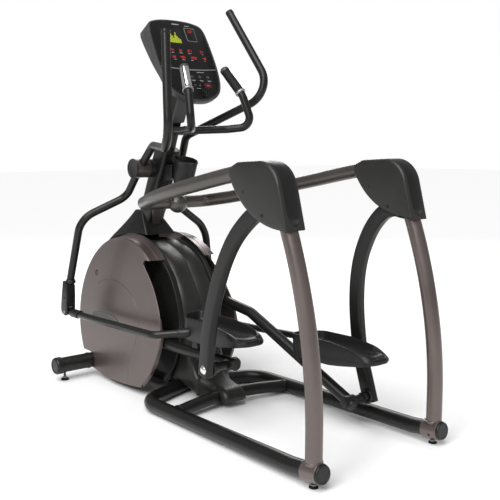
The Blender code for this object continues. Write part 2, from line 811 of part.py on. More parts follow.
def pedal_plan(inset):
    low_x, high_x = PEDAL_X
    low_y, high_y = PEDAL_Y
    corners = [
        (low_x + inset, low_y + inset, 0),
        (high_x - inset, low_y + inset, 0),
        (high_x - inset, low_y + 0.13, 0),
        (high_x - inset, low_y + 0.24, 0),
        (high_x - inset, high_y - 0.075, 0),
        (high_x - 0.06, high_y - inset, 0),
        (low_x + inset, high_y - inset, 0),
        (low_x + inset, low_y + 0.24, 0),
        (low_x + inset, low_y + 0.13, 0),
    ]
    return fillet(corners, [0.045, 0.045, 0, 0, 0.03, 0.02, 0.03, 0, 0], 3, closed=True)


def pedal_layer(name, z_of, inset):
    return [foot_place(name, p.x, p.y, z_of(p.y)) for p in pedal_plan(inset)]


def rim_height(y):
    """The rim stands high at the toe and sinks to the tread at the heel."""
    along = (y - PEDAL_Y[0]) / (PEDAL_Y[1] - PEDAL_Y[0])
    return 0.4035 + (PEDAL_Z[1] - 0.4035) * min(1, max(0, along - 0.03) / 0.45) ** 0.7


def skirt_height(y):
    """The skirt's lower edge climbs towards the heel."""
    return PEDAL_Z[0] + 0.05 * min(1, max(0, -0.12 - y) / 0.24) ** 1.3


def build_feet():
    for name, sign in SIDES.items():
        sides = [pedal_layer(name, lambda y: 0.31, 0.004), pedal_layer(name, lambda y: 0.46, 0)]
        pedal = loft(f"pedal_{name}", sides, "black_plastic")
        steps = [PEDAL_Y[0] - 0.03 + (PEDAL_Y[1] - PEDAL_Y[0] + 0.06) * k / 12 for k in range(13)]
        above = [(y, rim_height(y)) for y in steps] + [(steps[-1], 0.50), (steps[0], 0.50)]
        below = [(y, skirt_height(y)) for y in steps] + [(steps[-1], 0.27), (steps[0], 0.27)]
        cut(pedal, foot_prism(f"pedal_rim_{name}", name, above, 0.05, 0.28, "steel"))
        cut(pedal, foot_prism(f"pedal_skirt_{name}", name, below, 0.05, 0.28, "steel"))
        well = [
            pedal_layer(name, lambda y: TREAD[1], PEDAL_WALL), pedal_layer(name, lambda y: 0.47, PEDAL_WALL)
        ]
        under = [
            pedal_layer(name, lambda y: 0.30, PEDAL_WALL + 0.003),
            pedal_layer(name, lambda y: TREAD[0], PEDAL_WALL + 0.004),
        ]
        cut(pedal, loft(f"pedal_well_{name}", well, "steel"), loft(f"pedal_under_{name}", under, "steel"))
        way = [(0.02, 0.29), (0.12, 0.29), (0.12, TREAD[0] - 0.001), (0.02, TREAD[0] - 0.001)]
        cut(pedal, foot_prism(f"link_way_{name}", name, way, 0.148, 0.2185, "steel"))
        support = link_point(name, *SUPPORT)
        lug = [(-0.014, -0.010), (0.014, -0.010), (0.020, 0.0335), (-0.020, 0.0335)]
        lug = [(support[0] + y, support[1] + z) for y, z in lug]
        join(
            pedal,
            prism(f"pedal_lug_{name}", lug, *span(sign, LINK_X - 0.033, LINK_X - 0.013), "black_plastic"),
        )
        join(
            pedal,
            rod(
                f"support_pin_{name}",
                support,
                0.004,
                *span(sign, LINK_X - 0.02, LINK_X - 0.0096),
                "steel",
                10,
            ),
        )
        path = [foot_place(name, *p) for p in ((KNUCKLE_X, 0.895, 0.335), *ROD_PATH)]
        link = tube(f"link_rod_{name}", fillet(path, [0, 0.3, 0.05, 0], 4), ROD_R, "black_paint", 12)
        knuckle = knuckle_of(name)
        side_gap = 0.0105
        fork = foot_prism(
            f"rod_end_fit_{name}",
            name,
            [(0.835, 0.27), (0.96, 0.27), (0.96, 0.40), (0.835, 0.40)],
            KNUCKLE_X + side_gap,
            0.37,
            "steel",
        )
        fork_in = foot_prism(
            f"rod_end_in_{name}",
            name,
            [(0.835, 0.27), (0.96, 0.27), (0.96, 0.40), (0.835, 0.40)],
            0.31,
            KNUCKLE_X - side_gap,
            "steel",
        )
        cut(link, fork, fork_in)
        join(
            link,
            rod(
                f"rod_eye_{name}",
                knuckle,
                0.017,
                *span(sign, KNUCKLE_X - side_gap + 0.0002, KNUCKLE_X + side_gap - 0.0002),
                "black_paint",
                16,
            ),
        )
        cut(link, rod(f"rod_eye_bore_{name}", knuckle, 0.0067, *span(sign, 0.31, 0.37), "steel", 10))
        cut(
            link,
            loft(
                f"pedal_gap_{name}",
                [pedal_layer(name, lambda y: 0.30, -GAP), pedal_layer(name, lambda y: 0.46, -GAP)],
                "steel",
            ),
        )


def disc_loft(name, sign, face_r, back_r, face, back, slot):
    """A dished round cover: a face with a rounded edge, and a rim that flares towards the middle."""
    stations = ((face, face_r - 0.006), (face - 0.0045, face_r), (back, back_r))
    rings = []
    for x, r in stations:
        rings.append([(sign * (x - DISC_LEAN * p[1]), *p) for p in arc(DISC, r, 0, 351, 39)])
    return loft(name, rings, slot)


def sector(low_r, high_r, start, end, steps):
    return arc(DISC, low_r, start, end, steps) + arc(DISC, high_r, end, start, steps)


def under_outline():
    """Everything below the cover's slightly hollow lower edge."""
    edge = [(0.10, 0.075), (0.318, 0.050), (0.463, 0.034), (0.613, 0.026), (0.718, 0.033), (0.852, 0.047)]
    return edge + [(0.852, 0.120), (1.10, 0.120), (1.10, -0.1), (0.10, -0.1)]


def shroud_outline(inset):
    rear = [
        (0.545, 0.712),
        (0.425, 0.675),
        (0.345, 0.625),
        (0.295, 0.560),
        (0.255, 0.500),
        (0.232, 0.435),
        (0.222, 0.370),
        (0.200, 0.260),
        (0.160, 0.155),
        (0.100, 0.090),
    ]
    front = arc(DISC, 0.372, -28, 100, 12)
    shape = rear + [(0.10, 0.026), (0.28, 0.060), (0.80, 0.060)] + front
    if not inset:
        return shape
    spots = [Vector(p) for p in shape]
    moved = []
    for i, spot in enumerate(spots):
        before = (spot - spots[i - 1]).normalized()
        after = (spots[(i + 1) % len(spots)] - spot).normalized()
        normal = Vector((-(before.y + after.y), before.x + after.x)).normalized()
        moved.append(tuple(spot + normal * inset))
    return moved


def build_covers():
    for name, sign in SIDES.items():
        half = prism(f"shroud_{name}", shroud_outline(0), *span(sign, GAP / 2, SHROUD_HALF), "black_plastic")
        step = prism(
            f"shroud_step_{name}",
            sector(0.376, 0.388, 132, 222, 12),
            *span(sign, 0.095, STEP_BAND_X),
            "black_plastic",
        )
        web = prism(
            f"shroud_web_{name}",
            sector(0.30, 0.382, 132, 222, 12),
            *span(sign, 0.0965, 0.0995),
            "black_plastic",
        )
        join(half, web, step)
        cut(
            half,
            prism(
                f"shroud_hollow_{name}",
                shroud_outline(SHROUD_WALL),
                *span(sign, -0.01, SHROUD_HALF - SHROUD_WALL),
                "steel",
            ),
        )
        join(half, prism(f"shroud_tail_{name}", TAIL_EDGE, *span(sign, GAP, TAIL_HALF), "black_plastic"))
        cut(half, rod(f"axle_way_{name}", CRANK, 0.024, *span(sign, 0.05, 0.2), "steel", 16))
        cut(
            half,
            tube(
                f"stab_way_{name}",
                [(-0.5, STAB_Y, STAB_Z), (0.5, STAB_Y, STAB_Z)],
                STAB_R + 0.002,
                "steel",
                16,
            ),
        )
        cut(half, block(f"spine_way_{name}", (-0.0315, 0.05, -0.02), (0.0315, 0.85, 0.080), "steel"))
        cut(half, tube(f"rail_way_{name}", rail_path(sign), RAIL_R + 0.002, "steel", 12))
        cut(
            half,
            tube(
                f"brace_way_{name}",
                [(-0.2, 0.006, 0.0435), (0, 0.026, 0.048), (0.2, 0.006, 0.0435)],
                BRACE_R + 0.003,
                "steel",
                12,
            ),
        )
        cut(
            half,
            sweep(
                f"mast_way_{name}",
                MAST_PATH[1:],
                rounded_rectangle(MAST_W + 0.003, MAST_D + 0.003, 0.012),
                "steel",
            ),
        )
        build_disc_cover(name, sign)
    build_top_cap()


def build_disc_cover(name, sign):
    cover = disc_loft(f"disc_cover_{name}", sign, DISC_FACE_R, DISC_BACK_R, DISC_FACE, DISC_BACK, "bronze")
    inside = disc_loft(
        f"disc_inside_{name}",
        sign,
        DISC_FACE_R - DISC_WALL,
        DISC_BACK_R - DISC_WALL,
        DISC_FACE - DISC_WALL,
        DISC_BACK - 0.005,
        "steel",
    )
    slot = prism(f"disc_slot_{name}", sector(0.35, 0.45, 137, 162, 4), *span(sign, 0.08, 0.190), "steel")
    low_slot = prism(
        f"disc_low_slot_{name}", sector(0.352, 0.452, 160, 232, 9), *span(sign, 0.075, 0.2085), "steel"
    )
    under = prism(f"disc_under_{name}", under_outline(), *span(sign, 0.10, 0.30), "steel")
    gap = tube(
        f"disc_stab_{name}", [(-0.5, STAB_Y, STAB_Z), (0.5, STAB_Y, STAB_Z)], STAB_R + 0.0015, "steel", 16
    )
    cut(cover, inside, slot, low_slot, under, gap)
    cut(cover, rod(f"disc_screw_{name}", (0.846, 0.520), 0.011, *span(sign, 0.2085, 0.25), "steel", 12))


def build_top_cap():
    stations = (
        (0.640, (0.120, 0.470), (0.190, 0.700), (0.190, 0.840)),
        (0.705, (0.098, 0.528), (0.152, 0.700), (0.152, 0.815)),
        (0.760, (0.078, 0.576), (0.105, 0.700), (0.105, 0.790)),
        (0.810, (0.063, 0.622), (0.070, 0.690), (0.070, 0.760)),
        (0.852, (0.050, 0.658), (0.052, 0.680), (0.052, 0.728)),
    )
    rings = []
    for z, rear, middle, front in stations:
        half = (rear, middle, front)
        rings.append([(x, y, z) for x, y in half] + [(-x, y, z) for x, y in reversed(half)])
    cap = loft("shroud_top_cap", rings, "black_plastic")
    cut(cap, rod("cap_disc_way", DISC, DISC_BACK_R + 0.0012, -0.3, 0.3, "steel", 64))
    foot = [(0.40, 0.60), (1.10, 0.60), (1.10, 0.690), (0.52, 0.690), (0.40, 0.68)]
    cut(cap, prism("cap_foot_way", foot, -0.3, 0.3, "steel"))
    cut(
        cap,
        sweep(
            "cap_mast_way", MAST_PATH[1:], rounded_rectangle(MAST_W + 0.001, MAST_D + 0.001, 0.012), "steel"
        ),
    )


def console_matrix():
    """Local x across the console, y up its face, z out of it towards the user."""
    return Matrix.Translation(CONSOLE_AT) @ Matrix.Rotation(CONSOLE_TILT, 4, "X")


def console_outline(shrink, lift=0.0):
    half = [(max(x - shrink, 0) if x else 0, y) for x, y in CONSOLE_EDGE]
    middle = 0.03
    half = [(x, middle + (y - middle) * (1 - shrink / 0.21) + lift) for x, y in half]
    other = [(-x, y) for x, y in reversed(half) if x]
    return half + other


def console_prism(name, stations, slot):
    frame = console_matrix()
    rings = [[frame @ Vector((x, y, z)) for x, y in outline] for z, outline in stations]
    return loft(name, rings, slot)


def console_disc(name, u, v, radius, low, high, slot, stretch=1.0):
    turns = [2 * math.pi * k / 10 for k in range(10)]
    outline = [(u + stretch * radius * math.cos(a), v + radius * math.sin(a)) for a in turns]
    return console_prism(name, ((low, outline), (high, outline)), slot)


def build_console():
    edge = console_outline(0)
    back = [(x * 0.99, y * 0.985) for x, y in edge]
    frame = console_matrix()
    rings = [
        [frame @ Vector((x, y, -0.028 - 0.054 * max(0, (y + 0.05) / 0.30))) for x, y in back],
        [frame @ Vector((x, y, -0.006)) for x, y in edge],
        [frame @ Vector((x, y, 0.0)) for x, y in console_outline(0.003)],
    ]
    housing = loft("console_housing", rings, "grey_plastic")
    panel = console_outline(0.009, 0.006)
    wider = console_outline(0.009 - GAP, 0.006)
    cut(housing, console_prism("panel_seat", ((-0.012, wider), (0.01, wider)), "steel"))
    face = console_prism("console_face", ((-0.004, panel), (-0.001, panel)), "panel")
    neck = sweep(
        "console_neck_way", NECK_PATH, rounded_rectangle(0.052 + 0.001, 0.062 + 0.001, 0.01), "steel"
    )
    cut(housing, neck)
    for name, (u, v, radius) in KEYS.items():
        stretch = 1.5 if name == "key_stop" else 1.0
        colour = "red_plastic" if name == "key_stop" else "grey_plastic"
        cut(face, console_disc(f"{name}_way", u, v, radius + GAP * 2, -0.01, 0.01, "steel", stretch))
        console_disc(name, u, v, radius, -0.0085, 0.0005, colour, stretch)
    return housing


def build_mast():
    section = rounded_rectangle(MAST_W, MAST_D, 0.012)
    mast = sweep("mast", MAST_PATH, section, "black_paint", smooth=False)
    join(
        mast,
        sweep("mast_neck", NECK_PATH, rounded_rectangle(0.052, 0.062, 0.01), "black_paint", smooth=False),
    )
    join(mast, rod("hub_barrel", HUB, 0.0445, -0.0745, 0.0745, "black_paint", 18))
    join(mast, rod("hub_shaft", HUB, HUB_SHAFT_R, -0.150, 0.150, "steel", 14))
    bridge = [(0, 0.46, 0.902), (0, 0.60, 0.902)]
    join(mast, tube("frame_bridge", bridge, 0.026, "black_paint", 14))
    cut(mast, tube("bridge_gap", [(-0.09, 0.438, 0.903), (0.09, 0.438, 0.903)], UPPER_R + 0.001, "steel", 12))
    way = Vector((0, -0.388, 0.922))
    low = Vector((0, 0.452, 1.250)) + way * 0.050
    out = Vector((0, -0.922, -0.388))
    high = low + way * 0.125
    start, end = 0.0315, 0.0385
    corners = [low + out * start, low + out * end, high + out * end, high + out * start]
    cover = prism("mast_neck_cover", [(p.y, p.z) for p in corners], -0.034, 0.034, "grey_plastic")
    build_handlebar()
    cup()
    return mast, cover


def build_handlebar():
    half = fillet(BAR_HALF, [0, 0.10, 0.045, 0.06, 0.08, 0], 2)
    bar = tube("fixed_handlebar", half, BAR_R, "black_paint", 10)
    other = [(-p.x, p.y, p.z) for p in half]
    join(bar, tube("fixed_handlebar_left_half", other, BAR_R, "black_paint", 10))
    join(
        bar,
        tube("handlebar_boss", [(-0.036, 0.405, 1.246), (0.036, 0.405, 1.246)], 0.0215, "black_paint", 14),
    )
    neck = sweep(
        "handlebar_neck_way", NECK_PATH, rounded_rectangle(0.052 + 0.001, 0.062 + 0.001, 0.01), "steel"
    )
    cut(bar, neck)
    for name, sign in SIDES.items():
        top = Vector((sign * BAR_HALF[0][0], *BAR_HALF[0][1:]))
        collar = Vector((sign * BAR_HALF[1][0], *BAR_HALF[1][1:]))
        way = (top - collar).normalized()
        length = (top - collar).length - 0.012
        bore = BAR_R + 0.0009
        profile = [
            (0, length + 0.014),
            (GRIP_R - 0.006, length + 0.013),
            (GRIP_R, length + 0.008),
            (GRIP_R, 0.014),
            (GRIP_R + 0.003, 0.011),
            (GRIP_R + 0.003, 0),
            (bore, 0),
            (bore, length + 0.003),
            (0, length + 0.003),
        ]
        lathe(f"handlebar_grip_{name}", profile, collar + way * 0.012, way, "black_plastic", 14)


def cup():
    """The oval bottle cup behind the mast."""
    steps = 16
    turns = [2 * math.pi * k / steps for k in range(steps)]

    def ring(rx, ry, y, z, tilt=0.0):
        return [(0.010 + rx * math.cos(a), y + ry * math.sin(a), z + tilt * math.sin(a)) for a in turns]

    outside = [ring(0.036, 0.062, 0.385, 0.975), ring(0.045, 0.078, 0.352, 1.110, 0.016)]
    inside = [ring(0.0335, 0.056, 0.368, 0.979), ring(0.0425, 0.0755, 0.3515, 1.116, 0.016)]
    holder = loft("bottle_holder", outside, "black_plastic")
    mount = [(0.40, 1.02), (0.55, 1.00), (0.53, 1.09), (0.40, 1.09)]
    join(holder, prism("bottle_mount", mount, -0.025, 0.025, "black_plastic"))
    cut(holder, loft("bottle_inside", inside, "steel"))
    cut(
        holder,
        sweep(
            "cup_mast_way", MAST_PATH[:3], rounded_rectangle(MAST_W + 0.001, MAST_D + 0.001, 0.012), "steel"
        ),
    )


def main():
    start_scene()
    build_base()
    build_rear_frame()
    build_arms()
    build_links()
    build_drive()
    build_handles()
    build_feet()
    build_covers()
    build_mast()
    build_console()


main()
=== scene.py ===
"""The elliptical trainer's looks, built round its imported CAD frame.

Metres. +X is the user's right, +Y is forward, +Z is up. Shapes are drawn before the frame's
centring and moved by SHIFT as they are made.
"""

import math

import bmesh
import bpy
from mathutils import Matrix, Vector


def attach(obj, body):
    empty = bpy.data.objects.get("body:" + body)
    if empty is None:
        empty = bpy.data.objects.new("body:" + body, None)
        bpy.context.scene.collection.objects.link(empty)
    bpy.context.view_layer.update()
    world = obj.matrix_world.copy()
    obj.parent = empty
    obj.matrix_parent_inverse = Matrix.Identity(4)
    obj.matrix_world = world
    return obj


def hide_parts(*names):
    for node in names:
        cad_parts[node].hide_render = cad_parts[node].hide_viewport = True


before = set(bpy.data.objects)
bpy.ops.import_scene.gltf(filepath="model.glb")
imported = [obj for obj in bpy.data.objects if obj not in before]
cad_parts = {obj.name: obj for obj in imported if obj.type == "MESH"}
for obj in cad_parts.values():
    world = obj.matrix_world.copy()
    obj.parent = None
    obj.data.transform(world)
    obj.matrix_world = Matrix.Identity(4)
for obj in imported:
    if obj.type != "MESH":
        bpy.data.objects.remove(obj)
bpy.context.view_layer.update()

SHIFT = -0.0466
SIDES = {"left": -1, "right": 1}
ROUND = 40
X = Vector((1, 0, 0))
UP = Vector((0, 0, 1))

# ---------------------------------------------------------------- materials

SLOTS = {}


def surface(
    name, slot, colour, rough, metallic=0.0, grain=900, bump=0.08, vary=0.10, wear=0.0, coat=0.0, shine=0.5,
    glow=None,
):
    """A Principled material with mottled colour, uneven gloss, a fine bump and light worn edges.

    slot is the record's slot for pieces of this material, kept in SLOTS under the material's name.
    """
    SLOTS[name] = slot
    mat = bpy.data.materials.new(name)
    mat.use_nodes = True
    nodes, links = mat.node_tree.nodes, mat.node_tree.links
    shader = nodes["Principled BSDF"]
    shader.inputs["Metallic"].default_value = metallic
    shader.inputs["Coat Weight"].default_value = coat
    shader.inputs["Specular IOR Level"].default_value = shine
    shader.inputs["Coat Roughness"].default_value = 0.2
    place = nodes.new("ShaderNodeTexCoord")

    def noise_node(scale, detail):
        node = nodes.new("ShaderNodeTexNoise")
        node.inputs["Scale"].default_value = scale
        node.inputs["Detail"].default_value = detail
        links.new(place.outputs["Object"], node.inputs["Vector"])
        return node.outputs["Fac"]

    def ramped(source, low, high, start=0.3, end=0.7):
        node = nodes.new("ShaderNodeMapRange")
        for socket, value in (("From Min", start), ("From Max", end), ("To Min", low), ("To Max", high)):
            node.inputs[socket].default_value = value
        links.new(source, node.inputs["Value"])
        return node.outputs["Result"]

    def mixed(factor, first, second):
        node = nodes.new("ShaderNodeMix")
        node.data_type = "RGBA"
        links.new(factor, node.inputs["Factor"])
        for socket, value in (("A", first), ("B", second)):
            target = [s for s in node.inputs if s.name == socket and s.type == "RGBA"][0]
            if isinstance(value, tuple):
                target.default_value = (*value, 1)
            else:
                links.new(value, target)
        return [s for s in node.outputs if s.type == "RGBA"][0]

    def bumped(source, strength, distance):
        node = nodes.new("ShaderNodeBump")
        node.inputs["Strength"].default_value = strength
        node.inputs["Distance"].default_value = distance
        links.new(source, node.inputs["Height"])
        return node

    def brighter(times, more):
        return tuple(min(c * times + more, 1) for c in colour)

    fine, middle, broad = noise_node(grain, 3), noise_node(60, 5), noise_node(4.5, 4)
    darker = tuple(c * (1 - vary) for c in colour)
    tint = mixed(ramped(broad, 0, 1), darker, brighter(1 + vary, 0))
    tint = mixed(ramped(fine, 0, 0.35, 0.60, 0.75), tint, brighter(1.6, 0.006))
    if wear:
        edge = nodes.new("ShaderNodeNewGeometry").outputs["Pointiness"]
        tint = mixed(ramped(edge, 0, wear, 0.53, 0.62), tint, brighter(2.2, 0.02))
    links.new(tint, shader.inputs["Base Color"])
    gloss = nodes.new("ShaderNodeMath")
    gloss.operation = "ADD"
    links.new(ramped(broad, rough - 0.05, rough + 0.05), gloss.inputs[0])
    links.new(ramped(middle, -0.03, 0.03), gloss.inputs[1])
    links.new(gloss.outputs["Value"], shader.inputs["Roughness"])
    rise = bumped(fine, bump, 0.0006)
    wave = bumped(broad, 0.04, 0.002)
    links.new(rise.outputs["Normal"], wave.inputs["Normal"])
    links.new(wave.outputs["Normal"], shader.inputs["Normal"])
    if glow:
        shader.inputs["Emission Color"].default_value = (*glow[0], 1)
        shader.inputs["Emission Strength"].default_value = glow[1]
    return mat


BRONZE = surface(
    "bronze_paint_look", "bronze_paint", (0.152, 0.124, 0.116), 0.36, 0.72, grain=1400, bump=0.05, wear=0.2,
    coat=0.2,
)
FRAME_GREY = surface(
    "grey_paint_look", "bronze_paint", (0.088, 0.080, 0.073), 0.36, 0.6, grain=1400, bump=0.05, wear=0.2,
    coat=0.2,
)
PAINT = surface(
    "black_paint_look", "black_paint", (0.0085, 0.0082, 0.0078), 0.34, 0.1, grain=1300, bump=0.07, wear=0.25,
    shine=0.42,
)
PLASTIC = surface(
    "black_plastic_look", "black_plastic", (0.0075, 0.0075, 0.0073), 0.38, grain=1500, bump=0.12, wear=0.15,
    shine=0.4,
)
COVER = surface(
    "cover_plastic_look", "black_plastic", (0.0180, 0.0175, 0.0165), 0.38, grain=1500, bump=0.10, wear=0.2,
    shine=0.45,
)
GREY = surface(
    "grey_plastic_look", "grey_plastic", (0.050, 0.050, 0.051), 0.40, grain=1500, bump=0.10, wear=0.2
)
TRIM = surface("silver_trim_look", "grey_plastic", (0.36, 0.36, 0.365), 0.32, 0.6, grain=1200, bump=0.04)
RUBBER = surface("rubber_look", None, (0.0065, 0.0065, 0.0065), 0.68, grain=1100, bump=0.25, shine=0.35)
CHROME = surface(
    "chrome_look", "machine_steel", (0.82, 0.82, 0.83), 0.10, 1.0, grain=700, bump=0.01, vary=0.03
)
STEEL = surface("steel_look", "machine_steel", (0.30, 0.30, 0.31), 0.32, 1.0, grain=900, bump=0.06)
IRON = surface("cast_iron_look", None, (0.03, 0.03, 0.032), 0.55, 0.5, grain=600, bump=0.25)
PANEL = surface(
    "panel_look", "console_panel", (0.0040, 0.0040, 0.0045), 0.26, grain=1600, bump=0.02, shine=0.45
)
SCREEN = surface(
    "screen_look", "console_panel", (0.006, 0.0065, 0.0055), 0.14, grain=1600, bump=0.01, shine=0.5
)
KEYCAP = surface("keycap_look", "key_plastic", (0.014, 0.014, 0.0145), 0.40, grain=1500, bump=0.08)
RED = surface("red_key_look", "red_plastic", (0.11, 0.007, 0.009), 0.40, grain=1500, bump=0.08)
MARK = surface("print_look", "console_panel", (0.42, 0.42, 0.43), 0.5, grain=1500, bump=0.02)
GREEN_LIGHT = surface(
    "green_light_look", "console_panel", (0.30, 0.36, 0.02), 0.5, glow=((0.42, 0.52, 0.02), 0.45)
)
RED_LIGHT = surface("red_light_look", "red_plastic", (0.40, 0.02, 0.02), 0.5, glow=((0.85, 0.02, 0.03), 0.6))

# ---------------------------------------------------------------- mesh helpers


def piece(name, shape, mat, body="frame", nodes=(), slot=None, bevel=0.0, angle=32, shade=40):
    """Makes a piece of (points, faces), lets it ride on its body and stand for CAD nodes.

    The slot argument is not used.
    """
    points, faces = shape
    mesh = bpy.data.meshes.new(name)
    mesh.from_pydata([(p[0], p[1] + SHIFT, p[2]) for p in points], [], faces)
    bm = bmesh.new()
    bm.from_mesh(mesh)
    bmesh.ops.remove_doubles(bm, verts=bm.verts, dist=1e-6)
    bmesh.ops.recalc_face_normals(bm, faces=bm.faces)
    bm.to_mesh(mesh)
    bm.free()
    mesh.materials.append(mat)
    obj = bpy.data.objects.new(name, mesh)
    bpy.context.scene.collection.objects.link(obj)
    if bevel:
        step = obj.modifiers.new("bevel", "BEVEL")
        step.width = bevel
        step.segments = 3
        step.limit_method = "ANGLE"
        step.angle_limit = math.radians(angle)
    soften(obj, shade)
    if body:
        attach(obj, body)
    if nodes:
        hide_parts(*nodes)
    if slot is None and body:
        slot = SLOTS[mat.name]
    return obj


def soften(obj, angle):
    for polygon in obj.data.polygons:
        polygon.use_smooth = True
    obj.data.set_sharp_from_angle(angle=math.radians(angle))


def carve(obj, *tools, shade=40):
    """Cuts (points, faces) shapes out of a piece for good."""
    for shape in tools:
        tool = piece("carving_tool", shape, obj.data.materials[0], None)
        step = obj.modifiers.new("carve", "BOOLEAN")
        step.object = tool
        step.operation = "DIFFERENCE"
        step.solver = "EXACT"
        bpy.context.view_layer.update()
        graph = bpy.context.evaluated_depsgraph_get()
        made = bpy.data.meshes.new_from_object(obj.evaluated_get(graph))
        obj.modifiers.clear()
        obj.data = made
        bpy.data.objects.remove(tool)
    soften(obj, shade)
    return obj


def merge(*shapes):
    points, faces = [], []
    for more_points, more_faces in shapes:
        base = len(points)
        points += [tuple(p) for p in more_points]
        faces += [[base + i for i in face] for face in more_faces]
    return points, faces


def loft(rings, caps=True, closed=True):
    """Rings of equal length joined into a skin, capped at both ends."""
    size = len(rings[0])
    points = [tuple(p) for ring in rings for p in ring]
    faces = []
    for row in range(len(rings) - 1):
        for k in range(size if closed else size - 1):
            n = (k + 1) % size
            faces.append([row * size + k, row * size + n, (row + 1) * size + n, (row + 1) * size + k])
    if caps:
        faces.append(list(range(size))[::-1])
        faces.append([(len(rings) - 1) * size + k for k in range(size)])
    return points, faces


def turn(point, centre, angle):
    y, z = point[0] - centre[0], point[1] - centre[1]
    cos, sin = math.cos(angle), math.sin(angle)
    return centre[0] + y * cos - z * sin, centre[1] + y * sin + z * cos


def fillet(points, radius, steps=8, closed=False):
    corners = [Vector(p) for p in points]
    count = len(corners)
    rounded = []
    for i, corner in enumerate(corners):
        r = radius[i] if isinstance(radius, (list, tuple)) else radius
        back = (corners[i - 1] - corner).normalized()
        ahead = (corners[(i + 1) % count] - corner).normalized()
        if r <= 0 or (not closed and i in (0, count - 1)):
            rounded.append(corner)
            continue
        half = back.angle(ahead) / 2
        if half > math.radians(89.5):
            rounded.append(corner)
            continue
        centre = corner + (back + ahead).normalized() * (r / math.sin(half))
        first = corner + back * (r / math.tan(half)) - centre
        last = corner + ahead * (r / math.tan(half)) - centre
        reach = math.pi - 2 * half
        for k in range(steps + 1):
            t = k / steps
            a = math.sin((1 - t) * reach) / math.sin(reach)
            b = math.sin(t * reach) / math.sin(reach)
            rounded.append(centre + first * a + last * b)
    return rounded


def spline(points, per=8):
    """A smooth path through all the points."""
    spots = [Vector(p) for p in points]
    spots = [spots[0] * 2 - spots[1]] + spots + [spots[-1] * 2 - spots[-2]]
    path = []
    for a, b, c, d in zip(spots, spots[1:], spots[2:], spots[3:]):
        for k in range(per):
            t = k / per
            path.append(
                0.5 * (
                    2 * b + (c - a) * t + (2 * a - 5 * b + 4 * c - d) * t * t + (3 * b - a - 3 * c + d) * t**3
                )
            )
    return path + [spots[-2]]


def arc(centre, radius, start, end, steps):
    turns = [math.radians(start + (end - start) * k / steps) for k in range(steps + 1)]
    return [(centre[0] + radius * math.cos(a), centre[1] + radius * math.sin(a)) for a in turns]


def circle(radius, sides=ROUND):
    turns = [2 * math.pi * k / sides for k in range(sides)]
    return [(radius * math.cos(a), radius * math.sin(a)) for a in turns]


def rounded_rectangle(width, depth, radius, steps=6):
    x, y = width / 2, depth / 2
    corners = [(x, y, 0), (-x, y, 0), (-x, -y, 0), (x, -y, 0)]
    return [(p.x, p.y) for p in fillet(corners, radius, steps, closed=True)]


def sweep(path, section, side=X, scale=None, caps=True):
    """A section carried along a path, mitred at its corners. scale gives a size at each path point."""
    path = [Vector(p) for p in path]
    path = [p for i, p in enumerate(path) if i == 0 or (p - path[i - 1]).length > 1e-6]
    ways = [(b - a).normalized() for a, b in zip(path, path[1:])]
    if abs(ways[0].dot(side)) > 0.9:
        side = UP.copy()
    across = (side - ways[0] * side.dot(ways[0])).normalized()
    over = ways[0].cross(across)
    rings = []
    for i, point in enumerate(path):
        way = ways[max(i - 1, 0)]
        normal = (way + ways[min(i, len(ways) - 1)]).normalized()
        size = scale(i / (len(path) - 1)) if scale else 1
        ring = []
        for a, b in section:
            offset = (across * a + over * b) * size
            ring.append(point + offset - way * (offset.dot(normal) / way.dot(normal)))
        rings.append(ring)
        if 0 < i < len(path) - 1:
            spin = ways[i - 1].rotation_difference(ways[i])
            across.rotate(spin)
            over.rotate(spin)
    return loft(rings, caps)


def tube(path, radius, sides=ROUND, ease=0.0):
    """A round bar along a path, its end edges eased."""
    path = [Vector(p) for p in path]
    if not ease:
        return sweep(path, circle(radius, sides))
    first = (path[1] - path[0]).normalized()
    last = (path[-1] - path[-2]).normalized()
    head = [path[0] + first * ease * s for s in (0, 0.13, 0.5, 1)]
    tail = [path[-1] - last * ease * s for s in (1, 0.5, 0.13, 0)]
    whole = head + path[1:-1] + tail
    sizes = {0: 1 - ease / radius, 1: 1 - 0.5 * ease / radius, 2: 1 - 0.13 * ease / radius}
    last_index = len(whole) - 1

    def scale(t):
        i = round(t * last_index)
        return sizes.get(i, sizes.get(last_index - i, 1))

    return sweep(whole, circle(radius, sides), scale=scale)


def lathe(profile, origin, axis, steps=48):
    """A (radius, height) profile turned about an axis."""
    way = Vector(axis).normalized()
    across = way.orthogonal().normalized()
    over = way.cross(across)
    rings = []
    for radius, height in profile:
        middle = Vector(origin) + way * height
        r = max(radius, 1e-5)
        rings.append([middle + (across * c + over * s) * r for c, s in circle(1, steps)])
    hollow = all(radius > 0 for radius, _ in profile)
    if hollow:
        rings.append(rings[0])
    return loft(rings, caps=not hollow)


def prism(outline, low, high):
    return loft([[(x, p[0], p[1]) for p in outline] for x in (low, high)])


def quarter(steps):
    return [math.pi / 2 * k / steps for k in range(steps + 1)]


def rod(centre, radius, low, high, ease=0.0012, sides=ROUND):
    """A round bar along X with eased ends."""
    stations = [(low, radius - ease), (low + ease * 0.3, radius - ease * 0.3), (low + ease, radius)]
    stations += [(high - ease, radius), (high - ease * 0.3, radius - ease * 0.3), (high, radius - ease)]
    return loft(
        [[(x, centre[0] + r * c, centre[1] + r * s) for c, s in circle(1, sides)] for x, r in stations]
    )


def span(sign, low, high):
    return (low, high) if sign > 0 else (-high, -low)


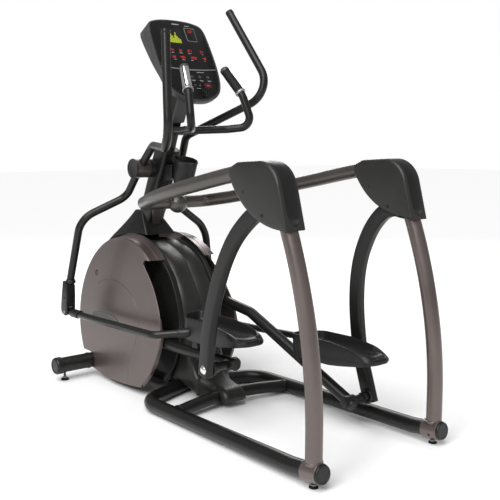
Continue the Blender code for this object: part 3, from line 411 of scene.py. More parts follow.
def bead(point, axis, radius, size=0.004, steps=40):
    """A weld bead round a tube, a little uneven."""
    way = Vector(axis).normalized()
    across = way.orthogonal().normalized()
    over = way.cross(across)
    rings = []
    for k in range(steps):
        a = 2 * math.pi * k / steps
        out = across * math.cos(a) + over * math.sin(a)
        thick = size * (1 + 0.18 * math.sin(9 * a) + 0.1 * math.sin(23 * a + 1))
        middle = Vector(point) + out * radius
        rings.append([middle + (out * c + way * s) * thick for c, s in circle(1, 8)])
    rings.append(rings[0])
    return loft(rings, caps=False)


def bolt(point, axis, radius, height):
    """A button head with a hex socket."""
    r, h = radius, height
    profile = [(0, h * 0.35), (r * 0.42, h * 0.35), (r * 0.48, h * 0.98), (r * 0.75, h * 0.85)]
    profile += [(r * 0.92, h * 0.55), (r, h * 0.1), (r, -h), (0, -h)]
    return lathe(profile, point, axis, 24)


def smooth_outline(points, per=6):
    """A closed smooth outline through the points."""
    count = len(points)
    spots = [Vector((p[0], p[1], 0)) for p in points]
    made = []
    for i in range(count):
        a, b, c, d = (spots[(i + k) % count] for k in (-1, 0, 1, 2))
        for k in range(per):
            t = k / per
            q = 0.5 * (
                2 * b + (c - a) * t + (2 * a - 5 * b + 4 * c - d) * t * t + (3 * b - a - 3 * c + d) * t**3
            )
            made.append((q.x, q.y))
    return made


def inset_outline(points, distance):
    """The outline moved in by a distance. Positive moves inwards for an anticlockwise outline."""
    if not distance:
        return [tuple(p) for p in points]
    spots = [Vector((p[0], p[1])) for p in points]
    area = sum(a.x * b.y - b.x * a.y for a, b in zip(spots, spots[1:] + spots[:1]))
    way = 1 if area > 0 else -1
    moved = []
    for i, spot in enumerate(spots):
        before = (spot - spots[i - 1]).normalized()
        after = (spots[(i + 1) % len(spots)] - spot).normalized()
        normal = Vector((-(before.y + after.y), before.x + after.x)).normalized()
        moved.append(tuple(spot + normal * distance * way))
    return moved


# ---------------------------------------------------------------- base

RAIL_X = 0.33
RAIL_R = 0.032
CLAMP_Y = -0.878
STAB = (0.852, 0.078)
STAB_R = 0.038
STAB_HALF = 0.4295
FINE = 56
FINE_TUBE = 48


def rail_path(sign):
    corners = [
        (RAIL_X, -0.9150, 0.0605), (RAIL_X, -0.772, 0.0470), (RAIL_X, 0.205, 0.0340), (0.0, 0.325, 0.0350)
    ]
    return [(sign * p.x, p.y, p.z) for p in fillet(corners, [0, 0.3, 0.12, 0], 16)]


def post_path(sign, count=24):
    heights = [POST_LOW + (POST_HIGH - POST_LOW) * k / count for k in range(count + 1)]
    return [(sign * POST_X, CLAMP_Y - 0.002 + 0.284 * max(z - 0.20, 0) ** 2, z) for z in heights]


def levelling_foot(name, spot, top, pad):
    x, y = spot
    high = min(0.012, top * 0.5)
    profile = [(0, 0), (pad - 0.002, 0), (pad, 0.0015), (pad, high * 0.35), (pad - 0.0012, high * 0.42)]
    profile += [
        (pad, high * 0.5), (pad - 0.001, high * 0.62), (pad * 0.66, high * 0.95), (pad * 0.5, high), (0, high)
    ]
    piece(name, lathe(profile, (x, y, 0), UP, 40), RUBBER, "frame", [name], "foot_rubber")
    thread = [(0, high)]
    z = high
    while z < top - 0.001:
        thread += [(0.0062, z), (0.0054, z + 0.0006)]
        z += 0.0012
    thread.append((0, top + 0.006))
    piece(name + "_stud", lathe(thread, (x, y, 0), UP, 20), STEEL)
    nut = lathe([(0, high), (0.0115, high), (0.0115, high + 0.0045), (0, high + 0.0045)], (x, y, 0), UP, 6)
    piece(name + "_nut", nut, STEEL, bevel=0.0006, shade=25)


def build_clamp(name, sign):
    """The clamp that holds the post on the rail's rear end, with its bolt and end cap."""
    end = Vector((sign * RAIL_X, CLAMP_Y, 0.0573))
    way = Vector((0, 1, -0.09)).normalized()
    ring = [
        (0.0335, -0.038), (0.0365, -0.038), (0.038, -0.0365), (0.038, 0.0365), (0.0365, 0.038),
        (0.0335, 0.038),
    ]
    shape = merge(lathe(ring, end, way), bead(end + Vector((0, 0.001, 0.036)), (0, 0.05, 1), 0.0315, 0.0035))
    piece(f"clamp_{name}", shape, BRONZE, "frame", [f"rear_clamp_{name}"])
    spot = end + Vector((-sign * 0.034, -0.006, -0.014))
    piece(
        f"clamp_bolt_{name}",
        bolt(spot + Vector((-sign * 0.0015, 0, -0.0005)), (-sign, 0, -0.35), 0.0052, 0.0015), RUBBER,
    )
    cap_at = end - way * 0.0383
    cap = [(0, 0), (0.0345, 0), (0.0358, -0.0015), (0.0358, -0.006), (0.0345, -0.0095), (0.031, -0.0115)]
    cap += [(0.0285, -0.0112), (0.0275, -0.0098), (0, -0.0094)]
    piece(f"rear_cap_{name}", lathe(cap, cap_at, way), PLASTIC, "frame", [f"rear_end_cap_{name}"])


def build_base():
    for name, sign in SIDES.items():
        rail = tube(rail_path(sign), RAIL_R, FINE_TUBE)
        piece(f"rail_{name}", rail, PAINT, "frame", [f"base_rail_{name}"])
        build_clamp(name, sign)
        levelling_foot(f"levelling_foot_rear_{name}", (sign * RAIL_X, CLAMP_Y), 0.0185, 0.017)
        levelling_foot(f"levelling_foot_front_{name}", (sign * 0.40, STAB[0]), 0.0402, 0.020)
        cap = [
            (0, -0.012), (0.0405, -0.012), (0.0425, -0.0105), (0.0428, 0.014), (0.0415, 0.019),
            (0.038, 0.0235),
        ]
        cap += [(0.033, 0.0248), (0.031, 0.0238), (0.0295, 0.0222), (0.012, 0.0228), (0, 0.0229)]
        at = (sign * 0.4303, *STAB)
        piece(f"front_cap_{name}", lathe(cap, at, (sign, 0, 0)), PLASTIC, "frame", [f"front_end_cap_{name}"])
    bar = rod(STAB, STAB_R, -STAB_HALF, STAB_HALF, 0.002, FINE)
    for sign in SIDES.values():
        bar = merge(bar, rod(STAB, STAB_R + 0.0025, *span(sign, 0.262, 0.276), 0.002, FINE))
    piece("stabilizer", bar, PAINT, "frame", ["front_stabilizer"])
    ends = [(-RAIL_X, -0.020, 0.0355), (-0.15, 0.012, 0.045), (0, 0.026, 0.048)]
    path = spline(ends + [(-x, y, z) for x, y, z in reversed(ends[:-1])], 10)
    beads = [bead((s * 0.2985, -0.0138, 0.0375), (s, -0.18, -0.05), 0.0278, 0.0035) for s in (-1, 1)]
    piece("cross_brace", merge(tube(path, 0.028), *beads), PAINT, "frame", ["base_cross_brace"])
    spine = loft(
        [
            [(x, y, z) for x, z in ((-0.03, 0.008), (0.03, 0.008), (0.03, 0.075), (-0.03, 0.075))]
            for y in (0.0595, 0.8132)
        ]
    )
    piece("spine", spine, PAINT, "frame", ["center_spine"], bevel=0.006)


# ---------------------------------------------------------------- rear frame

POST_X = 0.332
POST_R = 0.031
POST_LOW = 0.085
POST_HIGH = 1.072
UPPER_R = 0.0305
BALL_R = 0.046
PIVOT = (-0.7395, 0.9225)
UPPER = (
    (0.332, -0.655, 1.086), (0.333, -0.560, 1.086), (0.333, -0.422, 1.068), (0.330, -0.172, 1.020),
    (0.318, -0.012, 0.989), (0.285, 0.158, 0.956), (0.236, 0.308, 0.926),
)
BALL = Vector((0.0, 0.410, 0.900))
COVER_ARC = (-0.755, 1.213)
INSET_SECTION = ((-1, 0.004), (-1, 0.0008), (-0.93, 0), (0.93, 0), (1, 0.0008), (1, 0.004))


def upper_path():
    half = spline(UPPER, 8)
    corner = fillet([(0.236, 0.308, 0.926), (0.182, 0.432, 0.905), (0.0, 0.440, 0.903)], 0.068, 12)
    half = half[:-1] + corner[:-1]
    return half + [Vector((-p.x, p.y, p.z)) for p in reversed(half)]


def cover_outline(inset):
    r = 0.325 - inset
    lower = arc(COVER_ARC, r, -92.5, -27.5, 30)
    rear_low = (-0.783 + inset, COVER_ARC[1] - 0.325 + inset)
    top_rear = (-0.719 + inset * 0.8, 1.130 - inset)
    brow = (-0.512 - inset * 0.3, 1.1185 - inset)
    tip = (-0.464 - inset * 0.9, 1.097 - inset * 0.7)
    corners = [(y, z, 0) for y, z in (rear_low, top_rear, brow, tip)]
    rounded = fillet(corners, [0, 0.112, 0.03, 0], 16)
    return lower + [(p.x, p.y) for p in reversed(rounded)]


def crowned(outline, middle, share):
    """The outline drawn in towards a middle point."""
    return [(middle[0] + (y - middle[0]) * share, middle[1] + (z - middle[1]) * share) for y, z in outline]


def build_inset(name, sign):
    """The dark strip let into the shoulder's rear edge, over the seam."""
    rings = []
    rear = [Vector((*p, 0)) for p in reversed(cover_outline(0.0)) if p[0] < -0.655]
    path = [rear[0].lerp(rear[1], 0.10 + 0.09 * k) for k in range(10)] + rear[1:]
    for i, p in enumerate(path):
        t = i / (len(path) - 1)
        wide = 0.031 * math.sqrt(max(0.0, 1 - max(0.0, (0.16 - t) / 0.16) ** 2))
        wide = max(wide, 0.004)
        rings.append([(sign * (POST_X + a * wide), p.x - 0.0016 + lift, p.y) for a, lift in INSET_SECTION])
    piece(f"shoulder_inset_{name}", loft(rings), PLASTIC, shade=50)


def build_shoulder(name, sign):
    """Two deep shells round the pivot, with their screws."""
    for half, seam, face in (("outer", 0.3323, 0.3805), ("inner", 0.3317, 0.2835)):
        way = 1 if half == "outer" else -1
        radius = 0.012
        stations = [(seam, 0.0), (seam + way * 0.0012, 0.0007), (seam + way * 0.0028, 0.0)]
        stations += [
            (face - way * radius * (1 - math.sin(a)), radius * (1 - math.cos(a)))
            for a in quarter(6)
        ]
        rings = [[(sign * x, *p) for p in cover_outline(i)] for x, i in stations]
        flat = cover_outline(radius)
        for share, rise in (
            (0.96, 0.0004), (0.85, 0.0012), (0.65, 0.0022), (0.4, 0.0030), (0.15, 0.0034), (0.02, 0.0035)
        ):
            rings.append([(sign * (face + way * rise), *p) for p in crowned(flat, (-0.655, 1.020), share)])
        shape = loft(rings, caps=False)
        size = len(flat)
        shape[1].append([(len(rings) - 1) * size + k for k in range(size)])
        if half == "inner":
            gone = [(r, k) for r in range(2, 8) for k in range(3, 28)]
            wanted = {(r * size + k) for r, k in gone}
            shape = (shape[0], [f for f in shape[1] if len(f) != 4 or f[0] not in wanted])
        obj = piece(f"shoulder_{half}_{name}", shape, COVER, "frame", [f"shoulder_cover_{half}_{name}"])
        thick = obj.modifiers.new("wall", "SOLIDIFY")
        thick.thickness = 0.003
        thick.offset = -1
        for k, (y, z) in enumerate(((-0.557, 1.012), (-0.659, 0.935))):
            x = sign * (face + way * 0.0016)
            rim = [(0.0062, -0.002), (0.0078, -0.002), (0.0078, 0.0004), (0.0068, 0.0009), (0.0062, 0.0004)]
            at, out = (x, y, z), (sign * way, 0, 0)
            piece(f"shoulder_rim_{half}_{name}_{k}", lathe(rim, at, out, 28), COVER)
            well = bolt((x - sign * way * 0.0006, y, z), out, 0.0061, 0.0014)
            piece(f"shoulder_screw_{half}_{name}_{k}", well, RUBBER)
    build_inset(name, sign)


def build_rear_frame():
    piece("upper_tube", tube(upper_path(), UPPER_R, FINE_TUBE), FRAME_GREY, "frame", ["upper_frame_tube"])
    turns = [math.pi * k / 28 for k in range(1, 28)]
    profile = [(0, -BALL_R)] + [(BALL_R * math.sin(a), -BALL_R * math.cos(a)) for a in turns] + [(0, BALL_R)]
    ball = piece("hub_ball", lathe(profile, BALL, UP, FINE), FRAME_GREY, "frame", ["frame_hub_ball"])
    for side, sign in SIDES.items():
        out = Vector((sign * 0.84, -0.33, 0.43)).normalized()
        hole = lathe([(0, -0.009), (0.0072, -0.009), (0.0072, 0.01), (0, 0.01)], BALL + out * BALL_R, out, 24)
        carve(ball, hole)
        piece(f"ball_bolt_{side}", bolt(BALL + out * (BALL_R - 0.0065), out, 0.0066, 0.002), PLASTIC, slot="")
    for name, sign in SIDES.items():
        post = tube(post_path(sign), POST_R, FINE_TUBE)
        pin = rod(PIVOT, 0.009, *span(sign, 0.2885, 0.32), sides=20)
        piece(f"post_{name}", merge(post, pin), BRONZE, "frame", [f"rear_post_{name}"])
        build_shoulder(name, sign)


# ---------------------------------------------------------------- swinging arms and drive links

ARM_X = 0.310
ARM_REST = {"left": math.radians(12.78), "right": math.radians(-12.78)}
ARM_PATH = (
    (-0.655, 0.945), (-0.600, 0.925), (-0.5365, 0.8775), (-0.481, 0.810), (-0.442, 0.743),
    (-0.412, 0.664), (-0.391, 0.577), (-0.379, 0.495), (-0.372, 0.413), (-0.371, 0.3385),
    (-0.377, 0.262), (-0.387, 0.155),
)
LINK_X = 0.181
LINK_R = 0.025
LINK_BEND = math.radians(-15.4)
LINK_STRAIGHT = 0.70
LINK_END = 0.27
LINK_REST = {"left": math.radians(-1.17), "right": math.radians(23.11)}
SUPPORT = (0.25, 0.0932)


def axle_of(name):
    return turn((-0.389, 0.181), PIVOT, ARM_REST[name])


def build_axle(name, sign, body):
    """The axle at the arm's foot, with its bushing, head and chrome dome."""
    axle = axle_of(name)
    parts = [rod(axle, 0.012, *span(sign, 0.150, 0.30)), rod(axle, 0.0175, *span(sign, LINK_X + 0.027, 0.30))]
    parts.append(rod(axle, 0.0225, *span(sign, 0.255, 0.285)))
    piece(f"axle_{name}", merge(*parts), PAINT, body)
    bush = [(0.018, 0), (0.0305, 0), (0.032, 0.0015), (0.032, 0.0085), (0.0302, 0.0100), (0.0275, 0.0100)]
    bush += [(0.0262, 0.0085), (0.0215, 0.0085), (0.018, 0.0070)]
    at = (sign * 0.2915, *axle)
    piece(f"bushing_{name}", lathe([(r, -h) for r, h in bush], at, (sign, 0, 0)), PLASTIC, body)
    at = (sign * (LINK_X - 0.0265), *axle)
    head = [(0, 0), (0.018, 0), (0.018, 0.007), (0.0165, 0.0095), (0.009, 0.0105), (0, 0.0106)]
    piece(f"axle_head_{name}", lathe(head, at, (-sign, 0, 0)), PLASTIC, body)
    dome = [
        (0, 0.0078), (0.006, 0.0074), (0.011, 0.0060), (0.0148, 0.0038), (0.0168, 0.0012), (0.0182, 0.0006)
    ]
    dome += [(0.0190, 0), (0.0190, -0.001), (0, -0.001)]
    at = (sign * 0.3288, *axle)
    piece(f"axle_dome_{name}", lathe(dome, at, (sign, 0, 0)), CHROME, body)


def build_arms():
    for name, sign in SIDES.items():
        body = f"pendulum_{name}"
        path = spline([(*p, 0) for p in ARM_PATH], 6)
        placed = [turn((p.x, p.y), PIVOT, ARM_REST[name]) for p in path]
        spots = [(sign * ARM_X, y, z) for y, z in placed]
        bar = sweep(spots, rounded_rectangle(0.0378, 0.063, 0.009, 6))
        neck = [turn(p, PIVOT, ARM_REST[name]) for p in (PIVOT, (-0.62, 0.935), (-0.575, 0.915))]
        plate = sweep([(sign * 0.2955, *p) for p in neck], rounded_rectangle(0.0098, 0.042, 0.003))
        eye = rod(PIVOT, 0.021, *span(sign, 0.2906, 0.3004))
        piece(f"arm_{name}", merge(bar, plate, eye), PAINT, body, [f"pendulum_arm_{name}"])
        foot = Vector(spots[-1])
        down = (foot - Vector(spots[-2])).normalized()
        cap = sweep(
            [foot - down * 0.004, foot + down * 0.0015, foot + down * 0.0035],
            rounded_rectangle(0.0392, 0.0645, 0.0095, 6), scale=lambda t: 1 - 0.10 * max(0, t - 0.4),
        )
        piece(f"arm_cap_{name}", cap, PLASTIC, body)
        build_axle(name, sign, body)


def link_point(name, along, above):
    axle = axle_of(name)
    return turn((axle[0] + along, axle[1] + above), axle, LINK_REST[name])


def build_links():
    for name, sign in SIDES.items():
        body = f"link_{name}"
        end = (0, LINK_STRAIGHT + LINK_END * math.cos(LINK_BEND), LINK_END * math.sin(LINK_BEND))
        local = fillet([(0, -0.030, 0), (0, LINK_STRAIGHT, 0), end], 0.12, 12)
        path = [(sign * LINK_X, *link_point(name, p.y, p.z)) for p in local]
        front = link_point(name, end[1], end[2])
        boss = rod(front, 0.029, *span(sign, LINK_X - 0.024, LINK_X + 0.024))
        shoulder = rod(axle_of(name), 0.0262, *span(sign, LINK_X - 0.0255, LINK_X + 0.0255), 0.002)
        piece(
            f"link_{name}_bar", merge(tube(path, LINK_R, ROUND, 0.002), boss, shoulder), PAINT, body,
            [f"drive_link_{name}"],
        )
        wide = [
            (0.226, 0.006), (0.274, 0.006), (0.2600, 0.085), (0.2595, 0.0932), (0.2405, 0.0932),
            (0.2400, 0.085),
        ]
        wide = [link_point(name, *p) for p in wide]
        low, high = span(sign, LINK_X - 0.009, LINK_X + 0.009)
        eye = rod(link_point(name, *SUPPORT), 0.0097, low + 0.0002, high - 0.0002, 0.001, 32)
        piece(f"link_bracket_{name}", merge(prism(wide, low, high), eye), PAINT, body, bevel=0.0015)


# ---------------------------------------------------------------- moving handles

HUB = (0.56, 1.066)
HANDLE_R = 0.019
HANDLE_X = 0.118
HANDLE_REST = {"left": math.radians(14.12), "right": math.radians(-14.12)}
HANDLE_UP = (
    (HANDLE_X, -0.018, 0.027), (HANDLE_X, -0.092, 0.137), (0.335, -0.537, 0.234), (0.299, -0.353, 0.690)
)
HANDLE_DOWN = (
    (HANDLE_X, 0.018, -0.035), (HANDLE_X, 0.086, -0.168), (0.327, 0.150, -0.294),
    (0.330, 0.190, -0.634), (0.340, 0.172, -0.730),
)


BOOT_X = (0.3145, 0.3655)
BOOT_EASE = 0.006


def handle_points(points, name, sign):
    placed = []
    for x, y, z in points:
        placed.append((sign * x, *turn((HUB[0] + y, HUB[1] + z), HUB, HANDLE_REST[name])))
    return placed


def knuckle_of(name):
    return turn((HUB[0] + 0.1592, HUB[1] - 0.7938), HUB, HANDLE_REST[name])


def build_handles():
    for name, sign in SIDES.items():
        body = f"handle_{name}"
        upper = fillet(handle_points(HANDLE_UP, name, sign), [0, 0.055, 0.11, 0], 14)
        lower = fillet(handle_points(HANDLE_DOWN, name, sign), [0, 0.085, 0.13, 0.1, 0], 14)
        barrel = [
            (0.0212, 0), (0.0435, 0), (0.045, 0.0015), (0.045, 0.075), (0.0435, 0.0765), (0.0212, 0.0765)
        ]
        at = (sign * 0.0755, *HUB)
        beads = []
        for way, y, z in ((upper[1] - upper[0], -0.024, 0.036), (lower[1] - lower[0], 0.0205, -0.039)):
            (spot,) = handle_points([(HANDLE_X, y, z)], name, sign)
            beads.append(bead(spot, way, HANDLE_R + 0.0005, 0.0032))
        piece(
            f"handle_{name}_bar", merge(tube(upper, HANDLE_R), tube(lower, HANDLE_R), *beads), PAINT, body,
            [f"moving_handle_{name}"],
        )
        piece(f"handle_{name}_sleeve", lathe(barrel, at, (sign, 0, 0), FINE), FRAME_GREY, body)
        way = (upper[-1] - upper[-2]).normalized()
        cap = [
            (0, 0.0062), (0.009, 0.0060), (0.0155, 0.0045), (0.0188, 0.0018), (0.0196, -0.0005),
            (0.0196, -0.012), (0.0191, -0.0126), (0, -0.0126),
        ]
        piece(f"handle_{name}_tip", lathe(cap, upper[-1] - way * 0.004, way), PLASTIC, body)
        cap = [
            (0, 0.0), (0.0460, 0.0), (0.0475, 0.0012), (0.0475, 0.0048), (0.0462, 0.0064), (0.0435, 0.0068)
        ]
        cap += [(0.0415, 0.0058), (0.0400, 0.0036), (0.020, 0.0016), (0, 0.0012)]
        piece(
            f"hub_disc_{name}", lathe(cap, (sign * 0.1523, *HUB), (sign, 0, 0), FINE), PLASTIC, body,
            [f"hub_cap_{name}"],
        )
        build_knuckle(name, sign, body)


def build_knuckle(name, sign, body):
    """The tapered boot at the handle's foot, with its fork cheeks and screws."""
    knuckle = knuckle_of(name)
    front = [
        (0.205, -0.640), (0.163, -0.650), (0.150, -0.700), (0.135, -0.785), (0.138, -0.800), (0.152, -0.812),
        (0.180, -0.812), (0.194, -0.802), (0.201, -0.780), (0.206, -0.700),
    ]
    outline = [turn((HUB[0] + y, HUB[1] + z), HUB, HANDLE_REST[name]) for y, z in front]
    top = Vector(turn((HUB[0] + 0.183, HUB[1] - 0.645), HUB, HANDLE_REST[name]))
    rings = []
    eased = [(BOOT_EASE * (1 - math.sin(a)), BOOT_EASE * (1 - math.cos(a))) for a in quarter(4)]
    stations = [(BOOT_X[0] + x, inset) for x, inset in reversed(eased)]
    stations += [(BOOT_X[1] - x, inset) for x, inset in eased]
    for x, inset in stations:
        rings.append([(sign * x, *p) for p in inset_outline(outline, inset)])
    boot = piece(f"knuckle_{name}", loft(rings), PLASTIC, body, bevel=0.0025, angle=25)
    slot = [(knuckle[0] - 0.045, knuckle[1] - 0.045), (knuckle[0] + 0.040, knuckle[1] - 0.045)]
    slot += [(knuckle[0] + 0.040, knuckle[1] + 0.030), (knuckle[0] - 0.045, knuckle[1] + 0.030)]
    carve(boot, prism(slot, *span(sign, 0.3285, 0.3515)))
    for k, (dy, dz, r) in enumerate(((0, 0, 0.009), (0.012, 0.075, 0.0048))):
        at = (sign * BOOT_X[1], *turn((knuckle[0] + dy, knuckle[1] + dz), knuckle, HANDLE_REST[name]))
        piece(
            f"knuckle_bolt_{name}_{k}", bolt(at, (sign, 0, 0), r, 0.0022), STEEL if k == 0 else RUBBER, body,
            (), "",
        )
    piece(f"knuckle_pin_{name}", rod(knuckle, 0.006, *span(sign, 0.320, 0.360), 0.001, 24), STEEL, body)
    collar = [(0.0192, 0), (0.0235, 0), (0.0245, 0.002), (0.0235, 0.014), (0.0205, 0.017), (0.0192, 0.017)]
    way = Vector((0, *turn((0, 1), (0, 0), HANDLE_REST[name] - math.radians(6))))
    piece(f"knuckle_collar_{name}", lathe(collar, (sign * 0.3305, *top), way), PLASTIC, body)


# ---------------------------------------------------------------- footplates

FOOT_KNUCKLE = (0.908, 0.335)
FOOT_TILT = {"left": 0.0, "right": math.radians(-1.18)}
ROD_X = 0.340
ROD_R = 0.0165
SLEEVE_R = 0.0215
PEDAL_X = (0.092, 0.236)
PEDAL_Y = (-0.366, 0.094)
TREAD_Z = 0.402
RIB = (
    (-0.0028, -0.001), (0.0028, -0.001), (0.0022, 0.0016),
    (0.0012, 0.0022), (-0.0012, 0.0022), (-0.0022, 0.0016),
)


def foot_place(name, x, y, z):
    knuckle = knuckle_of(name)
    y, z = turn((y, z), FOOT_KNUCKLE, FOOT_TILT[name])
    return (SIDES[name] * x, y + knuckle[0] - FOOT_KNUCKLE[0], z + knuckle[1] - FOOT_KNUCKLE[1])


def pedal_plan(inset):
    low_x, high_x = PEDAL_X
    low_y, high_y = PEDAL_Y
    corners = [
        (low_x + inset, low_y + inset, 0),
        (high_x - inset, low_y + inset, 0),
        (high_x - inset, high_y - 0.075, 0),
        (high_x - 0.06, high_y - inset, 0),
        (low_x + inset, high_y - inset, 0),
    ]
    radii = [max(0.052 - inset, 0.01), max(0.052 - inset, 0.01), 0.035, 0.025, max(0.03 - inset * 0.5, 0.008)]
    rough = fillet(corners, radii, 12, closed=True)
    dense = []
    for a, b in zip(rough, rough[1:] + rough[:1]):
        pieces_wanted = max(1, int((b - a).length / 0.012))
        dense += [a.lerp(b, k / pieces_wanted) for k in range(pieces_wanted)]
    return dense


def at_share(points, count):
    """The outline resampled to a fixed count of points by length, from its first point."""
    spots = points + points[:1]
    lengths = [0.0]
    for a, b in zip(spots, spots[1:]):
        lengths.append(lengths[-1] + (b - a).length)
    made = []
    i = 0
    for k in range(count):
        wanted = lengths[-1] * k / count
        while lengths[i + 1] < wanted:
            i += 1
        t = (wanted - lengths[i]) / max(lengths[i + 1] - lengths[i], 1e-9)
        made.append(spots[i].lerp(spots[i + 1], t))
    return made


def ease(t):
    t = min(1.0, max(0.0, t))
    return t * t * (3 - 2 * t)


def pedal_shape(name):
    """A tray with a tall rolled wall at the toe and a wide falling lip at the heel."""
    count = 150
    plans = {}

    def plan(inset):
        if inset not in plans:
            plans[inset] = at_share(pedal_plan(inset), count)
        return plans[inset]

    outer = plan(0.0)
    rings = [[] for _ in range(12)]
    for k in range(count):
        y = outer[k].y
        along = (y - PEDAL_Y[0]) / (PEDAL_Y[1] - PEDAL_Y[0])
        rim = 0.4035 + (0.4395 - 0.4035) * min(1, max(0, along - 0.03) / 0.45) ** 0.7
        skirt = 0.338 + 0.034 * min(1, max(0, -0.12 - y) / 0.24) ** 1.3
        heel = 1 - ease((along - 0.02) / 0.22)
        lip = 0.006 + 0.026 * heel
        low = rim - 0.024 * heel
        bottom = min(skirt + 0.002, low - 0.006)
        stations = [
            (lip + 0.012, TREAD_Z + 0.0002),
            (lip + 0.006, TREAD_Z + 0.0004),
            (lip + 0.0022, TREAD_Z + 0.25 * (rim - TREAD_Z) + 0.0008),
            (lip, rim - 0.0022 * (1 - heel)),
            (lip * 0.82, rim),
            (lip * 0.45, rim - 0.0002 - 0.0050 * heel),
            (lip * 0.15, rim - 0.0015 - 0.0125 * heel),
            (0.0, rim - 0.0040 - 0.0190 * heel),
            (0.0008, (rim + bottom) / 2),
            (0.0022, bottom + 0.004),
            (0.0045, bottom),
            (0.0085, bottom + 0.0010),
        ]
        for row, (inset, z) in enumerate(stations):
            level = round(inset * 2000) / 2000
            p = plan(level)[k]
            rings[row].append(foot_place(name, p.x, p.y, z))
    shape = loft(rings, caps=False)
    size = count
    shape[1].append(list(range(size)))
    under = [foot_place(name, p.x, p.y, 0.3965) for p in plan(0.0105)]
    points, faces = shape
    base = len(points)
    points = points + under
    for k in range(size):
        n = (k + 1) % size
        faces.append([11 * size + k, 11 * size + n, base + n, base + k])
    faces.append([base + k for k in range(size)])
    return points, faces


def tread_ribs(name):
    """Nine fine ribs along the tread, which fade out at their ends."""
    ribs = []
    for k in range(9):
        x = PEDAL_X[0] + 0.022 + 0.0125 * k
        heel = PEDAL_Y[0] + 0.034 + 0.012 * abs(k - 4) / 4
        toe = PEDAL_Y[1] - 0.040 - (0.05 * max(0, k - 5) / 3)
        rings = []
        for j in range(25):
            y = heel + (toe - heel) * j / 24
            fade = 0.25 if j in (0, 24) else 1
            rings.append([foot_place(name, x + a, y, TREAD_Z + 0.0004 + b * fade) for a, b in RIB])
        ribs.append(loft(rings))
    return merge(*ribs)


def build_rod(name, sign, body):
    """The link rod from the handle's knuckle to the tray, with its sleeve and socket."""
    corners = ((ROD_X, 0.874, 0.335), (ROD_X, 0.620, 0.340), (ROD_X, 0.120, 0.357), (0.225, 0.005, 0.373))
    path = fillet([foot_place(name, *p) for p in corners], [0, 0.3, 0.055, 0], 14)
    knuckle = knuckle_of(name)
    eye = rod(knuckle, 0.017, *span(sign, 0.3297, 0.3503), 0.0015, 36)
    tongue = [foot_place(name, ROD_X, y, 0.335) for y in (0.868, 0.880, 0.900)]
    flat = sweep(tongue, rounded_rectangle(0.0196, 0.030, 0.004))
    piece(f"foot_{name}_rod", merge(tube(path, ROD_R), eye, flat), PAINT, body, [f"link_rod_{name}"])
    sleeve = [foot_place(name, ROD_X, y, z) for y, z in ((0.862, 0.3352), (0.850, 0.3354), (0.790, 0.3366))]
    shape = tube(sleeve, SLEEVE_R, ROUND, 0.002)
    points = []
    reach = Vector(sleeve[0]) - Vector(sleeve[-1])
    for p in shape[0]:
        part = max(0.0, (Vector(sleeve[0]) - Vector(p)).dot(reach) / reach.length_squared - 0.6) / 0.4
        lift = (p[2] - sleeve[1][2]) / SLEEVE_R
        points.append((p[0], p[1] - part * lift * 0.014, p[2]))
    piece(f"foot_{name}_sleeve", (points, shape[1]), PLASTIC, body)
    mount = [
        foot_place(name, x, y, z)
        for x, y, z in ((0.262, 0.040, 0.3685), (0.236, 0.012, 0.372), (0.224, 0.002, 0.3735))
    ]
    piece(f"foot_{name}_socket", tube(mount, 0.0205, 36, 0.002), PLASTIC, body)


def build_lug(name, sign, body):
    """The lug under the tray and the pin that the drive link's bracket hangs on."""
    support = link_point(name, *SUPPORT)
    lug = [(-0.012, -0.010), (0.012, -0.010), (0.016, 0.0), (0.022, 0.0325), (-0.022, 0.0325), (-0.016, 0.0)]
    lug = [(support[0] + y, support[1] + z) for y, z in lug]
    shape = prism(lug, *span(sign, LINK_X - 0.033, LINK_X - 0.013))
    piece(f"pedal_{name}_lug", shape, PLASTIC, body, (), "pedal_plastic", bevel=0.002)
    pin = merge(
        rod(support, 0.004, *span(sign, LINK_X - 0.036, LINK_X - 0.0096), 0.0006, 20),
        rod(support, 0.0075, *span(sign, LINK_X - 0.038, LINK_X - 0.033), 0.001, 24),
    )
    piece(f"pedal_{name}_pin", pin, STEEL, body)


def build_feet():
    for name, sign in SIDES.items():
        body = f"foot_{name}"
        piece(
            f"pedal_{name}_tray", pedal_shape(name), PLASTIC, body, [f"pedal_{name}"], "pedal_plastic",
            shade=50,
        )
        piece(f"pedal_{name}_ribs", tread_ribs(name), RUBBER, body, (), "pedal_plastic", shade=45)
        build_lug(name, sign, body)
        build_rod(name, sign, body)


# ---------------------------------------------------------------- drive covers

DISC = (0.621, 0.341)
DISC_FACE = 0.262
DISC_LEAN = 0.10
DISC_SIDES = 180
TOP_SCREW = (0.849, 0.530)
LOW_SCREW = (0.356, 0.0535)
BADGE = (0.735, 0.316)
BADGE_HALF = (0.132, 0.0255)
EDGE_R = 0.010
FACE_R = 0.389
BACK_R = 0.402
SHROUD_HALF = 0.100
REAR_EDGE = (
    (0.545, 0.712), (0.425, 0.675), (0.345, 0.625), (0.295, 0.560), (0.255, 0.500), (0.232, 0.435),
    (0.222, 0.370), (0.200, 0.260), (0.160, 0.155), (0.128, 0.110),
)
TAIL_EDGE = (
    (0.150, 0.130), (0.100, 0.108), (0.040, 0.093), (-0.010, 0.083), (-0.036, 0.064),
    (-0.044, 0.042), (-0.036, 0.027),
)


def disc_relief(y, z):
    """How far the cover's face stands out from its plane: a low crown."""
    r = math.hypot(y - DISC[0], z - DISC[1]) / FACE_R
    return 0.0045 * (1 - r * r)


def disc_x(y, z):
    return DISC_FACE - DISC_LEAN * z + disc_relief(y, z) - 0.0045


def leaning_ring(sign, x, r):
    """A circle round the disc's middle, on a plane that leans in towards the top."""
    spots = [(DISC[0] + r * c, DISC[1] + r * s) for c, s in circle(1, DISC_SIDES)]
    return [(sign * (x - DISC_LEAN * z), y, z) for y, z in spots]


